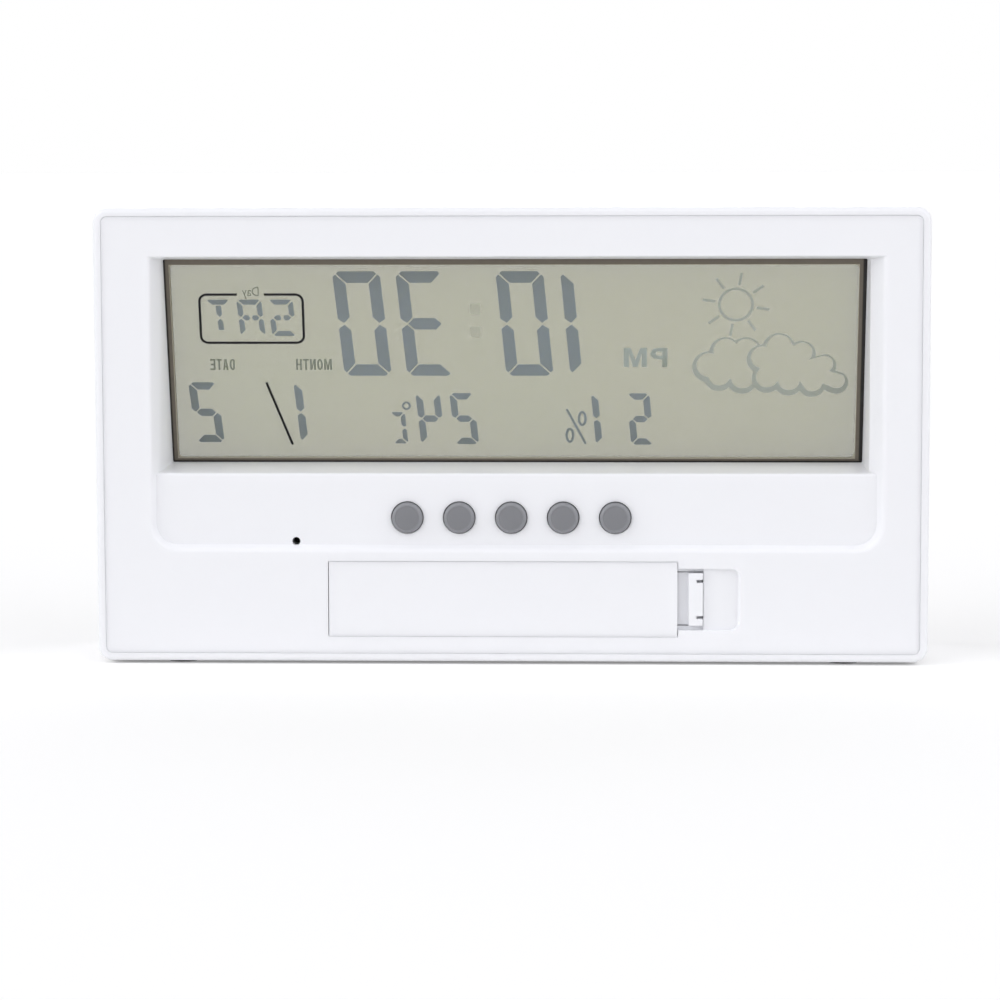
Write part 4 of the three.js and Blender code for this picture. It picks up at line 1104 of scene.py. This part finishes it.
def cap_finish(name, centre):
    """Grey cap plastic with a raised rim round its centre, made paler by a painted highlight."""
    finish, _ = satin(name, roughness=0.4)
    rim = finish.ramp(finish.from_axis(centre), RIM_FROM, RIM_TO)
    color = finish.drift(finish.noise(DRIFT_PER_METRE, detail=2), CAP_COLOR, share=0.03)
    # Painted highlight: the rim's colour is paler than the cap. The bump below is the rim's real rise.
    finish.set("Base Color", finish.mix(rim, color, shaded(CAP_COLOR, RIM_PAINTED_HIGHLIGHT)))
    finish.bump(rim, DISH)
    return finish


def smooth(name, finish):
    """Joins a solid's triangles, shades them smooth beside its flat faces and gives it a finish."""
    weld(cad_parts[name])
    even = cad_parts[name].modifiers.new("even shading", "WEIGHTED_NORMAL")
    even.weight = FLAT_WEIGHT
    dress(name, finish)


for number in BUTTON_NUMBERS:
    name = f"button_{number}"
    smooth(name, cap_finish(f"grey cap {number}", middle(name)))
print("dressed the buttons")

# %% [markdown]
# ## Backing of the latch
# Two notches are cut into the latch head, one on each side of its pad, and behind them lies a thin web of the
# same plastic, so they look grey and not black. The web is a small plate that rides with the latch. Its edges
# are bevelled, as nothing moulded is quite sharp.

# %% Latch backing
BACKING_INSET = 1.2 * MM
BACKING_FROM_TOP = 1.9 * MM
BACKING_THICKNESS = 0.35 * MM
BACKING_WIDTH = 2.2 * MM
BACKING_START = 0.1 * MM
BACKING_BEVEL = 0.08 * MM

latch_low, latch_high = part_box("cover_latch")
backing_mesh = bpy.data.meshes.new("latch_backing")
shape = bmesh.new()
bmesh.ops.create_cube(shape, size=1)
bmesh.ops.scale(shape, verts=shape.verts, vec=(
    BACKING_WIDTH, BACKING_THICKNESS, latch_high.z - latch_low.z - 2 * BACKING_INSET,
))
bmesh.ops.bevel(
    shape, geom=shape.edges, offset=BACKING_BEVEL, segments=ROUND_SEGMENTS, affect="EDGES",
)
bmesh.ops.translate(shape, verts=shape.verts, vec=(
    latch_low.x + BACKING_START + BACKING_WIDTH / 2,
    latch_high.y - BACKING_FROM_TOP - BACKING_THICKNESS / 2,
    (latch_low.z + latch_high.z) / 2,
))
shape.to_mesh(backing_mesh)
shape.free()
backing = bpy.data.objects.new("latch_backing", backing_mesh)
scene.collection.objects.link(backing)
backing_mesh.materials.append(white.material)
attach(backing, "cover_latch")
print("latch backing:", len(backing_mesh.polygons), "faces")

# %% [markdown]
# ## Metal, rubber and resin
# Inside are a circuit board, an AA cell and their contacts. Light reaches them only through vents and gaps,
# but each still gets the finish that it has on the bench. Bent sheet steel and the crystal's can show the
# lines of rolling, so their noise is drawn out along one axis.

# %% Metals
STEEL_COLOR = (0.6, 0.61, 0.63)
BRASS_COLOR = (0.6, 0.42, 0.16)
CERAMIC_COLOR = (0.72, 0.7, 0.64)
LINES_PER_METRE = 2500
DRAWN_OUT = (0.08, 1, 1)
DARK_SHARE, PALE_SHARE = 0.85, 1.12
METAL_SPREAD = 0.2
LINE_DEPTH = 0.002 * MM


def streaked(finish, pattern, color):
    """A metal's colour between a dark and a pale shade of it, by a pattern."""
    return finish.mix(pattern, shaded(color, DARK_SHARE), shaded(color, PALE_SHARE))


def rolled(name, roughness):
    """A finish whose gloss has fine lines along X, and the lines themselves."""
    finish = Finish(name)
    lines = finish.add("ShaderNodeMapping", inputs={"Vector": finish.place(), "Scale": DRAWN_OUT})
    rolling = finish.add("ShaderNodeTexNoise", inputs={
        "Vector": lines, "Scale": LINES_PER_METRE, "Detail": 2,
    })
    finish.set("Roughness", rolling * METAL_SPREAD + roughness)
    finish.bump(rolling, LINE_DEPTH)
    return finish, rolling


def rolled_metal(name, color, roughness):
    """Rolled sheet metal, with the lines in its colour too."""
    finish, rolling = rolled(name, roughness)
    finish.set("Base Color", streaked(finish, rolling, color))
    finish.set("Metallic", 1.0)
    return finish


steel = rolled_metal("nickel-plated steel", STEEL_COLOR, roughness=0.2)
for name in ("spring_contact", "positive_contact", "crystal"):
    smooth(name, steel)
screw_steel = rolled_metal("screw steel", shaded(STEEL_COLOR, 0.9), roughness=0.3)
CORNER_NUMBERS = range(1, 5)
for number in CORNER_NUMBERS:
    smooth(f"board_screw_{number}", screw_steel)
print("dressed the steel pieces")

# %% [markdown]
# The alarm disc is brass with a smaller ceramic disc on it. Both are one solid in the frame, so the finish
# changes with the distance from the disc's axis.

# %% Alarm disc
CERAMIC_RADIUS = 4.4 * MM
TARNISH_PER_METRE = 1200

disc, _ = rolled("brass and ceramic", roughness=0.25)
is_ceramic = disc.from_axis(middle("buzzer")) < CERAMIC_RADIUS
brass = disc.mix(disc.noise(TARNISH_PER_METRE), shaded(BRASS_COLOR, 0.85), shaded(BRASS_COLOR, 1.1))
disc.set("Base Color", disc.mix(is_ceramic, brass, CERAMIC_COLOR))
disc.set("Metallic", 1 - is_ceramic)
smooth("buzzer", disc)
print("dressed the alarm disc")

# %% [markdown]
# Resin, rubber, the sensor's housing and the wires' insulation are moulded like the shell, in other colours
# and with a coarser or finer grain.

# %% Resin, rubber, sensor and wires
RESIN_COLOR = (0.012, 0.012, 0.014)
RUBBER_COLOR = (0.022, 0.022, 0.024)
SENSOR_COLOR = (0.72, 0.72, 0.68)
RED_WIRE_COLOR = (0.39, 0.02, 0.015)
BLACK_WIRE_COLOR = (0.014, 0.014, 0.016)

resin = moulded("black resin", RESIN_COLOR, roughness=0.3, grain_depth=0.012 * MM, drift=0.2)
rubber = moulded("black rubber", RUBBER_COLOR, roughness=0.8, grain_depth=0.015 * MM, drift=0.2)
sensor = moulded("sensor housing", SENSOR_COLOR, roughness=0.5, grain_depth=0.006 * MM, drift=0.03)
red_wire = moulded("red insulation", RED_WIRE_COLOR, roughness=0.4, grain_depth=0.004 * MM, drift=0.1)
black_wire = moulded("black insulation", BLACK_WIRE_COLOR, roughness=0.4, grain_depth=0.004 * MM, drift=0.2)
smooth("chip_cover", resin)
smooth("humidity_sensor", sensor)
for number in CORNER_NUMBERS:
    smooth(f"foot_{number}", rubber)
for joined in ("battery", "buzzer"):
    smooth(f"{joined}_wire_red", red_wire)
    smooth(f"{joined}_wire_black", black_wire)
print("dressed resin, rubber and wires")

# %% [markdown]
# ## Parts with two materials
# A push switch is black resin under a steel plate, a thermistor is a resin bead on tinned leads, and the
# capacitor wears a sleeve with a pale stripe. Each is one solid, so a plane through it parts the two
# materials: beyond the plane the finish is metal or the other colour.

# %% A finish in two parts
GRAINS_PER_METRE = 2500
TWO_PART_GRAIN = 0.004 * MM


def two_part(name, first, second, direction, plane, second_is_metal=True):
    """A finish that changes at a plane: how far it lies along a direction, in metres from the origin."""
    finish = Finish(name)
    beyond = finish.along(direction, Vector((0, 0, 0))) > plane
    grain = finish.noise(GRAINS_PER_METRE, detail=2)
    colors = [streaked(finish, grain, color) for color in (first, second)]
    finish.set("Base Color", finish.mix(beyond, *colors))
    if second_is_metal:
        finish.set("Metallic", beyond)
    finish.set("Roughness", grain * METAL_SPREAD + 0.3)
    finish.bump(grain, TWO_PART_GRAIN)
    return finish


print("two-part finish ready")

# %% [markdown]
# The plate of a switch is half a millimetre thick, the thermistor's leads are bare up to its bead, and the
# stripe lies on one side of the capacitor. Each plane is measured from the solid's own box or from the board.

# %% Switches, thermistor, capacitor
SWITCH_COLOR = (0.014, 0.014, 0.016)
BEAD_COLOR = (0.014, 0.014, 0.016)
PLUNGER_COLOR = (0.02, 0.02, 0.022)
CAPACITOR_COLOR = (0.02, 0.02, 0.03)
STRIPE_COLOR = (0.5, 0.5, 0.52)
SWITCH_PLATE = 0.5 * MM
LEAD_LENGTH = 1.5 * MM
STRIPE_WIDTH = 1.1 * MM

board_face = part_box("main_board")[0].y
switch_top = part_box("tact_switch_1")[1].y
switch = two_part("switch body", SWITCH_COLOR, STEEL_COLOR, (0, 1, 0), switch_top - SWITCH_PLATE)
plunger = moulded("switch plunger", PLUNGER_COLOR, roughness=0.35, grain_depth=0.004 * MM, drift=0.1)
for number in BUTTON_NUMBERS:
    smooth(f"tact_switch_{number}", switch)
    smooth(f"tact_plunger_{number}", plunger)
reset_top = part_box("reset_switch")[1].y
reset_body = two_part("reset body", SWITCH_COLOR, STEEL_COLOR, (0, 1, 0), reset_top - SWITCH_PLATE)
smooth("reset_switch", reset_body)
smooth("reset_plunger", plunger)
bead = two_part("bead on leads", BEAD_COLOR, STEEL_COLOR, (0, 1, 0), board_face - LEAD_LENGTH)
smooth("thermistor", bead)
stripe_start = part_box("capacitor")[1].x - STRIPE_WIDTH
striped = two_part(
    "striped sleeve", CAPACITOR_COLOR, STRIPE_COLOR, (1, 0, 0), stripe_start, second_is_metal=False,
)
smooth("capacitor", striped)
print("dressed the small parts")

# %% [markdown]
# ## Battery
# The cell has a plain printed sleeve in two greys, without any words, and bare steel at both ends. Where the
# sleeve starts and ends is measured from the solid's own box.

# %% Battery
SLEEVE_COLOR = (0.15, 0.16, 0.18)
SLEEVE_BAND_COLOR = (0.5, 0.51, 0.52)
END_RIM = 0.8 * MM
NUB_LENGTH = 1.2 * MM
BAND_LENGTH = 13 * MM
PRINT_PER_METRE = 300

cell_low, cell_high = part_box("battery")
cell = Finish("printed sleeve")
cell_x = cell.axis("X")
is_band = cell_x < cell_low.x + NUB_LENGTH + BAND_LENGTH
is_bare = (cell_x < cell_low.x + NUB_LENGTH + END_RIM).math("MAXIMUM", cell_x > cell_high.x - END_RIM)
print_drift = cell.noise(PRINT_PER_METRE)
plain_color = cell.drift(print_drift, SLEEVE_COLOR, share=0.05)
sleeve_color = cell.mix(is_band, plain_color, SLEEVE_BAND_COLOR)
cell.set("Base Color", cell.mix(is_bare, sleeve_color, STEEL_COLOR))
cell.set("Metallic", is_bare)
cell.set("Roughness", print_drift * 0.1 + 0.25)
smooth("battery", cell)
print("dressed the battery")

# %% [markdown]
# ## Board and strip
# The board is green solder mask over copper tracks, which show as paler green lines. The tracks are two sets
# of stripes, one along the board and one across it, and noise decides where a stripe is present. The strip
# that joins glass and board is an orange film with fine dark lines, one for each contact of the display.

# %% Board and contact strip
BOARD_COLOR = (0.02, 0.12, 0.05)
TRACK_COLOR = (0.045, 0.2, 0.09)
STRIP_COLOR = (0.33, 0.14, 0.025)
STRIP_LINE_COLOR = (0.08, 0.03, 0.01)
TRACK_PITCH = 1.27 * MM
TRACK_SHARE = 0.35
PATCHES_PER_METRE = 90
LENGTHWISE_ABOVE = 0.5
CROSSWISE_BELOW = 0.42
MASK_PER_METRE = 500
TRACK_HEIGHT = 0.035 * MM
STRIP_PITCH = 0.9 * MM
STRIP_LINE_SHARE = 0.5
STRIP_PER_METRE = 400
STRIP_LINE_HEIGHT = 0.01 * MM

board = Finish("solder mask", roughness=0.28)
lengthwise = (board.axis("Z") * (1 / TRACK_PITCH)).math("FRACT") < TRACK_SHARE
crosswise = (board.axis("X") * (1 / TRACK_PITCH)).math("FRACT") < TRACK_SHARE
patches = board.noise(PATCHES_PER_METRE, detail=0)
long_tracks = lengthwise * (patches > LENGTHWISE_ABOVE)
tracks = long_tracks.math("MAXIMUM", crosswise * (patches < CROSSWISE_BELOW))
mask_color = board.drift(board.noise(MASK_PER_METRE), BOARD_COLOR, share=0.1)
board.set("Base Color", board.mix(tracks, mask_color, TRACK_COLOR))
board.bump(tracks, TRACK_HEIGHT)
smooth("main_board", board)

strip = Finish("printed strip", roughness=0.35)
strip_lines = (strip.axis("X") * (1 / STRIP_PITCH)).math("FRACT") < STRIP_LINE_SHARE
strip_color = strip.drift(strip.noise(STRIP_PER_METRE), STRIP_COLOR, share=0.1)
strip.set("Base Color", strip.mix(strip_lines, strip_color, STRIP_LINE_COLOR))
strip.bump(strip_lines, STRIP_LINE_HEIGHT)
smooth("contact_strip", strip)
print("dressed board and strip")

# %% [markdown]
# ## Solder joints
# Each push switch has four legs through the board, and each leg ends in a small cone of solder on the other
# side. Twenty-four cones are the same shape at places that follow from the switches' boxes, so a tree sets
# one cone on every point.

# %% Solder joints
SOLDER_COLOR = (0.55, 0.56, 0.57)
SOLDER_RADIUS = 0.75 * MM
SOLDER_TIP = 0.3 * MM
SOLDER_HEIGHT = 0.7 * MM
SOLDER_SIDES = 16
LEG_INSET = 0.6 * MM

solder_tree, solder_inputs = new_tree("cones on points", {
    "Radius": "Float", "Tip": "Float", "Height": "Float", "Solder": "Material",
})
cone = add_node(solder_tree, "GeometryNodeMeshCone", inputs={
    "Vertices": SOLDER_SIDES, "Radius Bottom": solder_inputs["Radius"], "Radius Top": solder_inputs["Tip"],
    "Depth": solder_inputs["Height"],
})
cones = add_node(solder_tree, "GeometryNodeInstanceOnPoints", inputs={
    "Points": solder_inputs["Geometry"], "Instance": cone, "Rotation": (math.pi / 2, 0, 0),
})
end_tree(solder_tree, cones, solder_inputs["Solder"])

leg_places = []
for name in ["reset_switch", *(f"tact_switch_{number}" for number in BUTTON_NUMBERS)]:
    switch_low, switch_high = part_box(name)
    for x in (switch_low.x + LEG_INSET, switch_high.x - LEG_INSET):
        for z in (switch_low.z + LEG_INSET, switch_high.z - LEG_INSET):
            leg_places.append((x, board_face, z))
legs = bpy.data.meshes.new("solder_joints")
legs.from_pydata(leg_places, [], [])
solder = rolled_metal("solder", SOLDER_COLOR, roughness=0.25)
joints = run_tree("solder_joints", legs, solder_tree, {
    "Radius": SOLDER_RADIUS, "Tip": SOLDER_TIP, "Height": SOLDER_HEIGHT, "Solder": solder.material,
})
keep(joints, Matrix.Identity(4), "housing")
print("solder joints:", len(leg_places))

# %% [markdown]
# ## The end

# %% Last step
print("last step")
